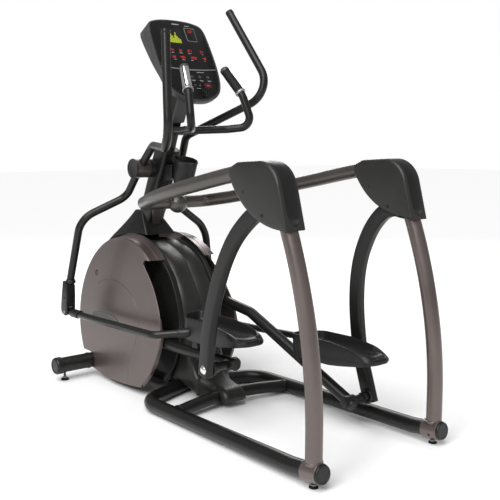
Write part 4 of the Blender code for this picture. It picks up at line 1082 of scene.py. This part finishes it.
def build_badge(name, sign):
    """A blank oval plate that follows the cover's face."""
    badge = []
    for x, share in (
        (-0.001, 1.0), (0.0012, 1.0), (0.0020, 0.985), (0.0023, 0.955), (0.0015, 0.90), (0.0013, 0.88),
        (0.0016, 0.5), (0.0017, 0.02),
    ):
        ring = []
        for k in range(72):
            t = 2 * math.pi * k / 72
            y = BADGE[0] + BADGE_HALF[0] * share * math.cos(t)
            z = BADGE[1] + BADGE_HALF[1] * share * math.sin(t)
            ring.append((sign * (disc_x(y, z) + x), y, z))
        badge.append(ring)
    piece(f"disc_badge_{name}", loft(badge), GREY, shade=25)


def build_disc_cover(name, sign):
    """The big leaning cover: a relieved face, a rolled edge and a rim that flares inwards."""
    outer = []
    for row in range(1, 41):
        r = (FACE_R - EDGE_R) * row / 40
        spots = [(DISC[0] + r * c, DISC[1] + r * s) for c, s in circle(1, DISC_SIDES)]
        outer.append([(sign * disc_x(y, z), y, z) for y, z in spots])
    for angle in (20, 40, 60, 75, 90):
        a = math.radians(angle)
        x = DISC_FACE - 0.0035 - 0.0095 * (1 - math.cos(a))
        outer.append(leaning_ring(sign, x, FACE_R - EDGE_R * (1 - math.sin(a))))
    rim = [(0.232, 0.3905), (0.222, 0.3920), (0.216, 0.3935), (0.2145, 0.3922), (0.2125, 0.3922)]
    rim += [(0.211, 0.3945), (0.200, 0.3975), (0.188, 0.4008), (0.182, BACK_R), (0.180, BACK_R)]
    wall = [(0.180, BACK_R - 0.0035), (0.2450, FACE_R - 0.0045), (0.2495, FACE_R - 0.010)]
    wall += [(0.2515, FACE_R - 0.020), (0.2515, 0.12)]
    outer += [leaning_ring(sign, x, r) for x, r in rim]
    inner = [leaning_ring(sign, x, r) for x, r in wall]
    shape = loft(outer + inner)
    cover = piece(f"disc_{name}", shape, BRONZE, "frame", [f"disc_cover_{name}"], shade=30)
    carve(cover, slot_tool(sign), link_tool(sign), bite_tool(sign), under_tool(sign), shade=30)
    lip = [(sign * (disc_x(y, z) - 0.0014), y, z) for y, z in bite_path()]
    piece(f"disc_lip_{name}", tube(lip, 0.0027, 12), BRONZE)
    seam = [(p.x, p.y) for p in spline([(*p, 0) for p in SEAM], 10)]
    groove = tube([(sign * (disc_x(y, z) + 0.0006), y, z) for y, z in seam], 0.0021, 8)
    gap = tube([(sign * 0.05, *STAB), (sign * 0.5, *STAB)], 0.0395, 48)
    well = [(0, -0.0035), (0.0145, -0.0035), (0.0165, 0.01), (0, 0.01)]
    out = Vector((sign, 0, DISC_LEAN)).normalized()
    carve(cover, groove, gap, lathe(well, (sign * disc_x(*TOP_SCREW), *TOP_SCREW), out, 40), shade=30)
    plug = [(0, 0.0008), (0.007, 0.0006), (0.0095, -0.0004), (0.0108, -0.0022), (0.0108, -0.004), (0, -0.004)]
    at = (sign * (disc_x(*TOP_SCREW) - 0.0008), *TOP_SCREW)
    piece(f"disc_plug_{name}", lathe(plug, at, out, 40), GREY)
    at = (sign * (disc_x(*LOW_SCREW) - 0.0002), *LOW_SCREW)
    piece(f"disc_screw_{name}", bolt(at, out, 0.0050, 0.0016), RUBBER)
    build_badge(name, sign)


BITE = (
    (0.417, 0.616), (0.361, 0.564), (0.315, 0.511), (0.267, 0.433), (0.246, 0.382), (0.236, 0.333),
    (0.226, 0.295),
)
SEAM = (
    (0.829, 0.479), (0.735, 0.510), (0.622, 0.511), (0.486, 0.455), (0.424, 0.357), (0.437, 0.247),
    (0.480, 0.141), (0.485, 0.050),
)


def leaning_prism(shape, sign, high):
    """A cutter from near the middle plane out to a plane that leans like the disc's face."""
    low = [(sign * 0.02, y, z) for y, z in shape]
    return loft([low, [(sign * (high - DISC_LEAN * z), y, z) for y, z in shape]])


def slot_tool(sign):
    """The opening in the rim where the drive link comes out."""
    inside, outside = 0.345, 0.46
    low, high = 131, 262
    shape = arc(DISC, inside, low, high, 40) + arc(DISC, outside, high, low, 40)
    return leaning_prism(shape, sign, 0.238)


def link_tool(sign):
    """Room for the drive link as it swings behind the face's rear edge."""
    shape = arc(DISC, 0.16, 128, 196, 30) + arc(DISC, 0.376, 196, 128, 30)
    return leaning_prism(shape, sign, 0.2562)


def bite_path():
    return [(p.x, p.y) for p in spline([(*p, 0) for p in BITE], 6)]


def bite_tool(sign):
    """Where the opening eats into the face's rear edge, with a rounded top corner."""
    corner = [
        (0.316, 0.6855), (0.354, 0.6410), (0.398, 0.6410), (0.409, 0.6385), (0.4165, 0.6325), (0.4195, 0.6250)
    ]
    shape = corner + bite_path() + [(0.15, 0.295), (0.15, 0.6855)]
    return prism(shape, *span(sign, 0.05, 0.30))


def under_tool(sign):
    edge = [(0.10, 0.070), (0.318, 0.050), (0.463, 0.034), (0.613, 0.026), (0.718, 0.033), (0.852, 0.047)]
    shape = [(p.x, p.y) for p in spline([(*p, 0) for p in edge], 6)]
    shape += [(0.855, 0.112), (0.862, 0.120), (1.10, 0.120), (1.10, -0.1), (0.10, -0.1)]
    return prism(shape, *span(sign, 0.05, 0.30))


def shroud_outline():
    rear = [(p.x, p.y) for p in spline([(*p, 0) for p in REAR_EDGE], 5)]
    front = arc(DISC, 0.372, -28, 100, 24)
    return rear + [(0.128, 0.030), (0.28, 0.060), (0.80, 0.060)] + front


def build_shrouds():
    outline = shroud_outline()
    for name, sign in SIDES.items():
        radius = 0.030
        stations = [(0.0004, 0.0012), (0.0016, 0.0)]
        stations += [
            (SHROUD_HALF - radius * (1 - math.sin(a)), radius * (1 - math.cos(a)))
            for a in quarter(8)
        ]
        rings = [[(sign * x, *p) for p in inset_outline(outline, inset)] for x, inset in stations]
        half = piece(
            f"shroud_{name}_half", loft(rings, caps=False), COVER, "frame", [f"shroud_{name}"], shade=50
        )
        mesh = half.data
        bm = bmesh.new()
        bm.from_mesh(mesh)
        edges = [
            e
            for e in bm.edges if e.is_boundary and all(abs(abs(v.co.x) - SHROUD_HALF) < 1e-4 for v in e.verts)
        ]
        bmesh.ops.holes_fill(bm, edges=edges)
        bm.to_mesh(mesh)
        bm.free()
        soften(half, 50)
        build_tail(name, sign)
        build_step_band(name, sign)
        build_disc_cover(name, sign)


def build_tail(name, sign):
    """The rounded boot over the front of the spine, where the cross brace goes through."""
    edge = [(p.x, p.y) for p in spline([(*p, 0) for p in TAIL_EDGE], 5)] + [(0.150, 0.027)]
    stations = [(0.0004, 0.0), (0.030, 0.0)] + [
        (0.066 - 0.028 * (1 - math.sin(a)), 0.028 * (1 - math.cos(a)))
        for a in quarter(7)
    ]
    rings = []
    for x, inset in stations:
        ring = []
        for y, z in edge:
            share = inset / 0.028
            drop = inset * (1.2 if z > 0.04 else 0.2)
            flare = 0.022 * ease((y - 0.06) / 0.09) * (x / 0.066)
            ring.append(
                (
                    sign * (x + flare), y + inset * (0.9 if y < 0.05 else 0),
                    max(z - drop, 0.0268 + 0.0001 * share),
                )
            )
        rings.append(ring)
    piece(f"tail_{name}", loft(rings), COVER, shade=60)


def build_step_band(name, sign):
    """The narrow stepped band beside the centre cover, and a black plate inside it as painted shade."""
    rings = []
    stations = [
        (0.090, 0.386), (0.0985, 0.386), (0.1003, 0.3903), (0.1030, 0.3920), (0.1165, 0.3920),
        (0.1200, 0.3912), (0.1220, 0.3885),
    ]
    stations += [(0.1220, 0.372), (0.1180, 0.372), (0.1180, 0.384), (0.092, 0.384)]
    for k in range(97):
        t = math.radians(104 + (228 - 104) * k / 96)
        flare = 1 + 0.35 * ease((20 - k) / 20)
        cos, sin = math.cos(t), math.sin(t)
        flared = [(SHROUD_HALF + (x - SHROUD_HALF) * flare, r) for x, r in stations]
        rings.append([(sign * x, DISC[0] + r * cos, DISC[1] + r * sin) for x, r in flared])
    piece(f"step_band_{name}", loft(rings), PLASTIC, shade=35)
    # A black plate inside the opening: painted shade where its interior lies in shadow.
    wall = [(y, max(z, 0.062)) for y, z in arc(DISC, 0.372, 122, 225, 60) + arc(DISC, 0.20, 225, 122, 30)]
    piece(f"painted_shade_plate_{name}", prism(wall, *span(sign, 0.1004, 0.1024)), PLASTIC, shade=35)


CAP_STATIONS = (
    (0.640, (0.120, 0.470), (0.190, 0.700), (0.190, 0.840)),
    (0.705, (0.098, 0.528), (0.152, 0.700), (0.152, 0.815)),
    (0.760, (0.078, 0.576), (0.105, 0.700), (0.105, 0.790)),
    (0.810, (0.063, 0.622), (0.070, 0.690), (0.070, 0.760)),
    (0.852, (0.050, 0.658), (0.052, 0.680), (0.052, 0.728)),
)


def build_top_cap():
    keys = [
        [Vector((z, *rear)), Vector((z, *middle)), Vector((z, *front))]
        for z, rear, middle, front in CAP_STATIONS
    ]
    tracks = [spline([row[i] for row in keys], 6) for i in range(3)]
    rings = []
    for rear, middle, front in zip(*tracks):
        z = rear.x
        half = [(rear.y, rear.z, z), (middle.y, middle.z, z), (front.y, front.z, z)]
        whole = half + [(-x, y, z) for x, y, z in reversed(half)]
        rings.append(fillet(whole, [0.012, 0.03, 0.02, 0.02, 0.03, 0.012], 5, closed=True))
    top = rings[-1]
    middle = Vector((0, 0.69, 0.8535))
    rings.append([Vector(p).lerp(middle, 0.06) + Vector((0, 0, 0.0018)) for p in top])
    cap = piece("top_cap", loft(rings), PLASTIC, "frame", ["shroud_top_cap"], shade=28)
    way = prism(arc(DISC, BACK_R + 0.0012, 0, 357, 119), -0.3, 0.3)
    foot = prism([(0.40, 0.60), (1.10, 0.60), (1.10, 0.690), (0.52, 0.690), (0.40, 0.68)], -0.3, 0.3)
    carve(cap, way, foot, shade=28)


# ---------------------------------------------------------------- mast and bars

MAST_PATH = (
    (0, 0.489, 1.160), (0, 0.532, 1.066), (0, 0.628, 0.860), (0, 0.702, 0.700), (0, 0.755, 0.560),
    (0, 0.755, 0.0753),
)
NECK_PATH = ((0, 0.512, 1.110), (0, 0.452, 1.250), (0, 0.372, 1.440))
BAR_R = 0.018
BAR_HALF = (
    (0.113, 0.185, 1.518), (0.150, 0.100, 1.402), (0.172, 0.052, 1.262), (0.100, 0.150, 1.250),
    (0.030, 0.300, 1.246), (0.020, 0.428, 1.246),
)


def build_neck_plate():
    """The plain cover plate on the neck's user side."""
    low = Vector((0, 0.452, 1.250))
    way = Vector((0, -0.388, 0.922))
    out = Vector((0, -0.922, -0.388))
    rings = []
    for depth, inset in (
        (0.0315, 0), (0.0365, 0), (0.0380, 0.0006), (0.0385, 0.0025), (0.0378, 0.0040), (0.0376, 0.006)
    ):
        outline = rounded_rectangle(0.068 - 2 * inset, 0.125 - 2 * inset, 0.012 - inset)
        rings.append([low + way * (0.1125 + b) + out * depth + X * a for a, b in outline])
    piece("neck_plate", loft(rings), GREY, "frame", ["mast_neck_cover"], shade=30)


def build_gusset():
    """The tapering web between the bridge tube and the mast."""
    wedge = []
    for z, half in ((0.872, 0.0415), (0.850, 0.0395), (0.800, 0.0235), (0.772, 0.0125), (0.764, 0.005)):
        y = 0.628 + (0.860 - z) * 0.4625 - 0.050
        wedge.append(
            [
                (-half, y + 0.004, z), (half, y + 0.004, z), (half * 0.93, y - 0.012, z),
                (-half * 0.93, y - 0.012, z),
            ]
        )
    piece("mast_gusset", loft(wedge), FRAME_GREY, bevel=0.003)


def build_mast():
    column = sweep(fillet(MAST_PATH, [0, 0.4, 0.5, 0.3, 0.2, 0], 8), rounded_rectangle(0.094, 0.098, 0.014))
    neck = sweep(fillet(NECK_PATH, [0, 0.4, 0], 6), rounded_rectangle(0.052, 0.062, 0.010))
    barrel = rod(HUB, 0.0445, -0.0745, 0.0745, 0.0015, FINE)
    shaft = rod(HUB, 0.020, -0.150, 0.150)
    piece("mast_column", merge(column, barrel, shaft), PAINT, "frame", ["mast"])
    piece("mast_neck", neck, PAINT)
    top = Vector((0, 0.489, 1.160))
    up = Vector((0, -0.43, 0.94)).normalized()
    collar = sweep(
        [top - up * 0.010, top + up * 0.003, top + up * 0.008], rounded_rectangle(0.0965, 0.1005, 0.015),
        scale=lambda t: 1 - 0.06 * max(0, t - 0.4),
    )
    piece("mast_collar", collar, PLASTIC)
    bridge = tube([(0, 0.452, 0.902), (0, 0.60, 0.902)], 0.026)
    piece("bridge_tube", merge(bridge, bead((0, 0.566, 0.902), (0, 1, 0), 0.026, 0.0035)), FRAME_GREY)
    build_gusset()
    build_neck_plate()


def build_grip(name, sign):
    """A grip with its tip, collar and two contact plates."""
    top = Vector((sign * BAR_HALF[0][0], *BAR_HALF[0][1:]))
    base = Vector((sign * BAR_HALF[1][0], *BAR_HALF[1][1:]))
    way = (top - base).normalized()
    long = (top - base).length - 0.012
    start = base + way * 0.012
    profile = [(0.0188, 0.010), (0.0212, 0.010), (0.0212, long), (0.0188, long)]
    piece(
        f"grip_{name}_core", lathe(profile, start, way), RUBBER, "frame", [f"handlebar_grip_{name}"],
        "grip_rubber",
    )
    tip = [
        (0, long + 0.0135), (0.008, long + 0.0130), (0.0150, long + 0.0105), (0.0195, long + 0.0060),
        (0.0217, long + 0.0005), (0.0217, long - 0.006), (0.0205, long - 0.0065), (0, long - 0.0065),
    ]
    piece(f"grip_{name}_tip", lathe(tip, start, way), GREY)
    collar = [
        (0.0187, 0), (0.0235, 0), (0.0247, 0.0015), (0.0247, 0.0075), (0.0238, 0.0105), (0.0222, 0.0125),
        (0.0187, 0.0125),
    ]
    piece(f"grip_{name}_collar", lathe(collar, start, way), TRIM)
    facing = Vector((-0.80, -0.60, 0)) if sign < 0 else Vector((0.9, 0.35, 0))
    out = (facing - way * facing.dot(way)).normalized()
    beside = way.cross(out)
    for k, (low_a, high_a) in enumerate(((7, 88), (-88, -7))):
        rings = []
        for j in range(29):
            a = math.radians(low_a + (high_a - low_a) * j / 28)
            spoke = out * math.cos(a) + beside * math.sin(a)
            ring = []
            edge = 0.0009 if j in (0, 28) else 0.0
            for r, h in (
                (0.0205, 0.016), (0.0219 - edge, 0.0165), (0.0222 - edge, 0.019),
                (0.0222 - edge, long - 0.012), (0.0219 - edge, long - 0.0095), (0.0205, long - 0.009),
            ):
                ring.append(start + spoke * r + way * h)
            rings.append(ring)
        piece(f"grip_{name}_plate_{k}", loft(rings), CHROME, shade=35)


def build_bars():
    half = fillet(BAR_HALF, [0, 0.11, 0.045, 0.08, 0.09, 0], 14)
    other = [Vector((-p.x, p.y, p.z)) for p in half]
    boss = rod((0.405, 1.246), 0.0215, -0.044, 0.044)
    beads = [bead((s * 0.036, 0.400, 1.246), (s, 0, 0), 0.0205, 0.003) for s in (-1, 1)]
    shape = merge(tube(half, BAR_R), tube(other, BAR_R), boss, *beads)
    piece("handlebar", shape, PAINT, "frame", ["fixed_handlebar"])
    for name, sign in SIDES.items():
        build_grip(name, sign)


def build_cup():
    """The pointed oval bottle cup on the mast."""
    steps = 96

    def ring(shrink, z, share):
        made = []
        for k in range(steps):
            a = 2 * math.pi * k / steps
            c, s = math.cos(a), math.sin(a)
            rx = 0.036 + 0.009 * share - shrink
            ry = 0.062 + 0.016 * share - shrink
            point = 1 + 0.10 * (abs(s) ** 6 - 0.35)
            y = 0.385 - 0.033 * share
            tilt = 0.016 * share * s + 0.004 * share * c
            made.append((0.010 + rx * c * (1 - 0.12 * s * s), y + ry * s * point, z + tilt))
        return made

    outside = [
        ring(0.012, 0.975, 0.0), ring(0.004, 0.9755, 0.0), ring(0.001, 0.978, 0.02), ring(0, 0.984, 0.06)
    ]
    outside += [ring(0, 0.984 + 0.118 * k / 8, 0.06 + 0.9 * k / 8) for k in range(1, 9)]
    lip = [
        ring(-0.0012, 1.104, 0.98), ring(-0.0014, 1.108, 1.0), ring(-0.0004, 1.1105, 1.0),
        ring(0.0014, 1.1115, 1.0), ring(0.0026, 1.110, 1.0),
    ]
    inside = [ring(0.0028 + 0.002 * k / 8, 1.102 - 0.118 * k / 8, 0.96 - 0.7 * k / 8) for k in range(9)]
    inside += [ring(0.006, 0.980, 0.02), ring(0.014, 0.979, 0.0)]
    cup = loft(outside + lip + inside)
    arm = prism([(0.425, 1.02), (0.520, 1.00), (0.500, 1.085), (0.425, 1.085)], -0.025, 0.025)
    piece("cup", cup, PLASTIC, "frame", ["bottle_holder"], shade=35)
    piece("cup_arm", arm, PLASTIC, bevel=0.004)


# ---------------------------------------------------------------- console

CONSOLE = Matrix.Translation((0.0, 0.307, 1.539)) @ Matrix.Rotation(math.atan2(0.879, 0.476), 4, "X")
CONSOLE_EDGE = (
    (0.000, 0.252), (0.060, 0.2498), (0.105, 0.2425), (0.140, 0.229), (0.157, 0.203),
    (0.164, 0.150), (0.1672, 0.060), (0.1655, -0.010), (0.156, -0.080), (0.134, -0.132),
    (0.098, -0.163), (0.045, -0.182), (0.000, -0.1855),
)


PANEL_FACE = -0.0011


def console_outline():
    half = list(CONSOLE_EDGE)
    whole = half + [(-x, y) for x, y in reversed(half[1:-1])]
    return smooth_outline(whole, 6)


def on_console(u, v, out):
    return CONSOLE @ Vector((u, v, out))


def plate(outline, low, high, ease_by=0.0006):
    """A flat plate on the console with an eased front edge."""
    stations = ((low, 0.0), (high - ease_by, 0.0), (high - ease_by * 0.3, ease_by * 0.3), (high, ease_by))
    return loft([[on_console(u, v, h) for u, v in inset_outline(outline, inset)] for h, inset in stations])


def printed(outline, high=-0.0007):
    """A mark that stands just off the console's panel."""
    return plate(outline, PANEL_FACE, high, 0.0001)


def box_outline(u, v, wide, high, radius=0.001):
    return [(u + a, v + b) for a, b in rounded_rectangle(wide, high, radius, 3)]


def digit_shape(text, u, v, high=0.013):
    """Seven-bar numerals standing just off the panel."""
    lit = {
        "0": "abcdef", "1": "bc", "2": "abged", "3": "abgcd", "4": "fgbc", "5": "afgcd", "6": "afgedc",
        "7": "abc", "8": "abcdefg", "9": "abcdfg",
    }
    wide = high * 0.52
    thick = high * 0.13
    spots = {
        "a": (0, high / 2, wide - thick, thick),
        "d": (0, -high / 2, wide - thick, thick),
        "g": (0, 0, wide - thick, thick),
        "f": (-wide / 2, high / 4, thick, high / 2 - thick),
        "b": (wide / 2, high / 4, thick, high / 2 - thick),
        "e": (-wide / 2, -high / 4, thick, high / 2 - thick),
        "c": (wide / 2, -high / 4, thick, high / 2 - thick),
    }
    parts = []
    pitch = high * 0.78
    start = u - pitch * (len(text.replace(".", "")) - 1) / 2
    k = 0
    for mark in text:
        if mark == ".":
            parts.append(
                printed(box_outline(start + pitch * (k - 0.5), v - high / 2, thick, thick, 0.0003), -0.0005)
            )
            continue
        for bar in lit[mark]:
            a, b, w, h = spots[bar]
            lean = b * 0.10
            parts.append(printed(box_outline(start + pitch * k + a + lean, v + b, w, h, 0.0004), -0.0005))
        k += 1
    return merge(*parts)


def build_console():
    outline = console_outline()
    rings = []
    for share, size in ((1.0, 0.955), (1.0, 0.975), (0.985, 0.990), (0.95, 0.998)):
        ring = []
        for u, v in outline:
            depth = -0.030 - 0.060 * max(0, (v + 0.05) / 0.30)
            ring.append(on_console(u * size, v * size * 0.995, depth * share))
        rings.append(ring)
    for h, inset in (
        (-0.012, 0.0), (-0.006, 0.0), (-0.0035, 0.0006), (-0.0015, 0.0020), (-0.0006, 0.0045),
        (-0.0008, 0.0075), (-0.0035, 0.0085),
    ):
        rings.append([on_console(u, v, h) for u, v in inset_outline(outline, inset)])
    piece("console_shell", loft(rings), GREY, "frame", ["console_housing"], shade=35)
    panel = inset_outline([(u, v + 0.004) for u, v in outline], 0.0125)
    piece("console_panel", plate(panel, -0.004, -0.0011, 0.0012), PANEL, "frame", ["console_face"], shade=35)
    rim = plate(inset_outline(panel, -0.0028), -0.004, -0.0016, 0.0008)
    piece("console_rim", rim, COVER, "frame", (), "grey_plastic", shade=35)
    line = []
    for k in range(33):
        u = -0.153 + 0.306 * k / 32
        line.append((u, -0.006 - 0.010 * math.cos(math.pi * u / 0.34)))
    band = line + [(u, v - 0.006 + 0.0015 * abs(u) / 0.15) for u, v in reversed(line)]
    piece("console_divider", plate(band, -0.002, 0.0006, 0.0008), TRIM, shade=35)
    build_screens()
    build_keys()


def build_marks():
    """Plain bars where the real console has printed words."""
    marks = []
    for u, v, wide in (
        (-0.108, 0.070, 0.018), (-0.064, 0.070, 0.016), (-0.018, 0.070, 0.020), (0.030, 0.070, 0.018),
        (0.103, 0.070, 0.008),
    ):
        marks.append(printed(box_outline(u, v, wide, 0.0022, 0.0006)))
        marks.append(printed(box_outline(u + 0.002, v - 0.037, wide * 0.8, 0.0022, 0.0006)))
    marks.append(printed(box_outline(0.055, -0.030, 0.040, 0.0024, 0.0006)))
    marks.append(printed(box_outline(0.0, 0.2275, 0.040, 0.0050, 0.0024)))
    marks.append(printed(box_outline(0.064, 0.2225, 0.026, 0.0022, 0.0008), 0.0002))
    for u in (0.000, 0.045, 0.090):
        marks.append(printed(box_outline(u + 0.002, -0.0735, 0.024, 0.0018, 0.0005)))
        marks.append(printed(box_outline(u + 0.002, -0.0770, 0.016, 0.0014, 0.0005)))
    marks.append(printed(box_outline(0.017, -0.1165, 0.026, 0.0018, 0.0005)))
    piece("panel_marks", merge(*marks), MARK, shade=35)


def build_numbers():
    """The lit numbers, which are invented."""
    lights = [(digit_shape("132", 0.068, 0.193), 0.0006)]
    for text, u, v in (
        ("5.8", -0.108, 0.084), ("74", -0.064, 0.084), ("3.2", -0.018, 0.084), ("157", 0.030, 0.084),
        ("5.1", 0.103, 0.084),
    ):
        lights.append((digit_shape(text, u, v, 0.012), 0.0))
    for text, u, v in (
        ("120", -0.108, 0.047), ("62", -0.064, 0.047), ("495", -0.016, 0.047), ("1958", 0.042, 0.047),
        ("48", 0.107, 0.047),
    ):
        lights.append((digit_shape(text, u, v, 0.012), 0.0))
    out = CONSOLE.to_3x3() @ UP.copy()
    lifted = []
    for (points, faces), lift in lights:
        lifted.append(([Vector(p) + out * lift for p in points], faces))
    piece("red_numbers", merge(*lifted), RED_LIGHT, shade=35)


def build_screens():
    window = box_outline(-0.049, 0.157, 0.128, 0.088, 0.006)
    piece("graph_window", plate(window, -0.002, -0.0008, 0.0004), SCREEN, shade=35)
    heights = [5, 7, 6, 9, 5, 8, 4, 6, 9, 7, 5, 8, 11, 7, 5, 4]
    bars = []
    for k, count in enumerate(heights):
        u = -0.097 + 0.0066 * k
        for j in range(count):
            bars.append(printed(box_outline(u, 0.127 + 0.0053 * j, 0.0054, 0.0044, 0.0003), -0.0004))
    piece("graph_bars", merge(*bars), GREEN_LIGHT, shade=35)
    frame_line = box_outline(0.071, 0.176, 0.058, 0.074, 0.006)
    piece("small_window_frame", plate(frame_line, -0.002, -0.0004, 0.0005), TRIM, shade=35)
    inner = box_outline(0.071, 0.176, 0.053, 0.069, 0.005)
    piece("small_window", plate(inner, -0.002, -0.0001, 0.0003), SCREEN, shade=35)
    build_numbers()
    build_marks()


KEYS = {
    "key_program": (0.000, -0.055, 0.0065),
    "key_level_down": (0.045, -0.055, 0.0065),
    "key_level_up": (0.090, -0.055, 0.0065),
    "key_minus": (0.003, -0.100, 0.005),
    "key_plus": (0.030, -0.100, 0.005),
    "key_stop": (0.075, -0.100, 0.012),
}


def build_keys():
    for name, (u, v, radius) in KEYS.items():
        stretch = 1.5 if name == "key_stop" else 1.0
        body = name + "_body"

        def ring(share, h):
            made = []
            for k in range(40):
                a = 2 * math.pi * k / 40
                made.append(
                    on_console(
                        u + stretch * radius * share * math.cos(a), v + radius * share * math.sin(a), h
                    )
                )
            return made

        stations = (
            (1, -0.008), (1, 0.0002), (0.985, 0.0008), (0.94, 0.0012), (0.86, 0.0013), (0.60, 0.0009),
            (0.02, 0.0007),
        )
        mat, slot = (RED, "red_plastic") if name == "key_stop" else (KEYCAP, "key_plastic")
        piece(f"{name}_cap", loft([ring(s, h) for s, h in stations]), mat, body, [name], slot, shade=40)
        rim = (
            (1.05, -0.002), (1.05, -0.0006), (1.10, -0.0002), (1.17, -0.0004), (1.20, -0.002), (1.05, -0.002)
        )
        shape = loft([ring(s, h) for s, h in rim], caps=False)
        piece(
            f"{name}_bezel", shape, TRIM if name != "key_stop" else RED, "frame", (), "grey_plastic", shade=40
        )
        sign_shape = [plate(box_outline(u, v, radius * 0.9, radius * 0.18, 0.0002), 0.0007, 0.0013, 0.0001)]
        if name in ("key_plus", "key_level_up"):
            sign_shape.append(
                plate(box_outline(u, v, radius * 0.18, radius * 0.9, 0.0002), 0.0007, 0.0013, 0.0001)
            )
        piece(f"{name}_sign", merge(*sign_shape), MARK, body, (), slot, shade=40)


# ---------------------------------------------------------------- kept CAD nodes

KEPT = {
    "crank_axle": STEEL,
    "crank_arm_left": PAINT,
    "crank_arm_right": PAINT,
    "drive_belt": RUBBER,
    "drive_bracket": PAINT,
    "flywheel": IRON,
}


def dress_kept_nodes():
    for name, mat in KEPT.items():
        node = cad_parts[name]
        node.data.materials.clear()
        node.data.materials.append(mat)


# ---------------------------------------------------------------- stage


FLOOR_HALF = 30
SKY_LIGHT = 0.32
SKY_SEEN = 1.0
CAMERA_SPOT = (-2.185, -2.770 + SHIFT, 1.182)
CAMERA_DIP = 7.54
CAMERA_TURN = 39.66
SENSOR = 36
LENS = 57.528


def build_stage():
    """A pale floor, a white studio round it and three soft lights."""
    mesh = bpy.data.meshes.new("floor")
    far = FLOOR_HALF
    mesh.from_pydata([(-far, -far, 0), (far, -far, 0), (far, far, 0), (-far, far, 0)], [], [[0, 1, 2, 3]])
    floor = bpy.data.objects.new("floor", mesh)
    mat = bpy.data.materials.new("floor_look")
    mat.use_nodes = True
    shader = mat.node_tree.nodes["Principled BSDF"]
    shader.inputs["Base Color"].default_value = (0.99, 0.99, 0.99, 1)
    shader.inputs["Roughness"].default_value = 0.9
    mesh.materials.append(mat)
    bpy.context.scene.collection.objects.link(floor)
    world = bpy.data.worlds.new("studio")
    world.use_nodes = True
    nodes, links = world.node_tree.nodes, world.node_tree.links
    ray = nodes.new("ShaderNodeLightPath")
    level = nodes.new("ShaderNodeMapRange")
    level.inputs["To Min"].default_value = SKY_LIGHT
    level.inputs["To Max"].default_value = SKY_SEEN
    links.new(ray.outputs["Is Camera Ray"], level.inputs["Value"])
    nodes["Background"].inputs["Color"].default_value = (1, 1, 1, 1)
    links.new(level.outputs["Result"], nodes["Background"].inputs["Strength"])
    bpy.context.scene.world = world
    sun("soft_sun", (-0.62, -0.30, 1.0), 55, 2.6)
    lamp("key_light", (-4.6, -2.0, 3.6), (0, 0, 0.8), 1.6, 70)
    lamp("rear_light", (3.4, 3.6, 3.4), (0, 0, 0.8), 2.5, 90)
    bpy.context.scene.view_settings.view_transform = "Standard"


def sun(name, direction, spread, power):
    data = bpy.data.lights.new(name, "SUN")
    data.energy = power
    data.angle = math.radians(spread)
    light = bpy.data.objects.new(name, data)
    light.rotation_mode = "QUATERNION"
    light.rotation_quaternion = Vector(direction).to_track_quat("Z", "Y")
    bpy.context.scene.collection.objects.link(light)


def lamp(name, spot, target, size, power):
    data = bpy.data.lights.new(name, "AREA")
    data.size = size
    data.energy = power
    light = bpy.data.objects.new(name, data)
    light.location = spot
    light.rotation_mode = "QUATERNION"
    light.rotation_quaternion = (Vector(target) - Vector(spot)).to_track_quat("-Z", "Y")
    bpy.context.scene.collection.objects.link(light)


def build_camera():
    data = bpy.data.cameras.new("camera")
    data.sensor_width = SENSOR
    data.lens = LENS
    camera = bpy.data.objects.new("camera", data)
    camera.location = CAMERA_SPOT
    camera.rotation_euler = (math.radians(90 - CAMERA_DIP), 0, math.radians(-CAMERA_TURN))
    bpy.context.scene.collection.objects.link(camera)
    bpy.context.scene.camera = camera


build_base()
build_rear_frame()
build_arms()
build_links()
build_handles()
build_feet()
build_shrouds()
build_top_cap()
build_mast()
build_bars()
build_cup()
build_console()
dress_kept_nodes()
build_stage()
build_camera()
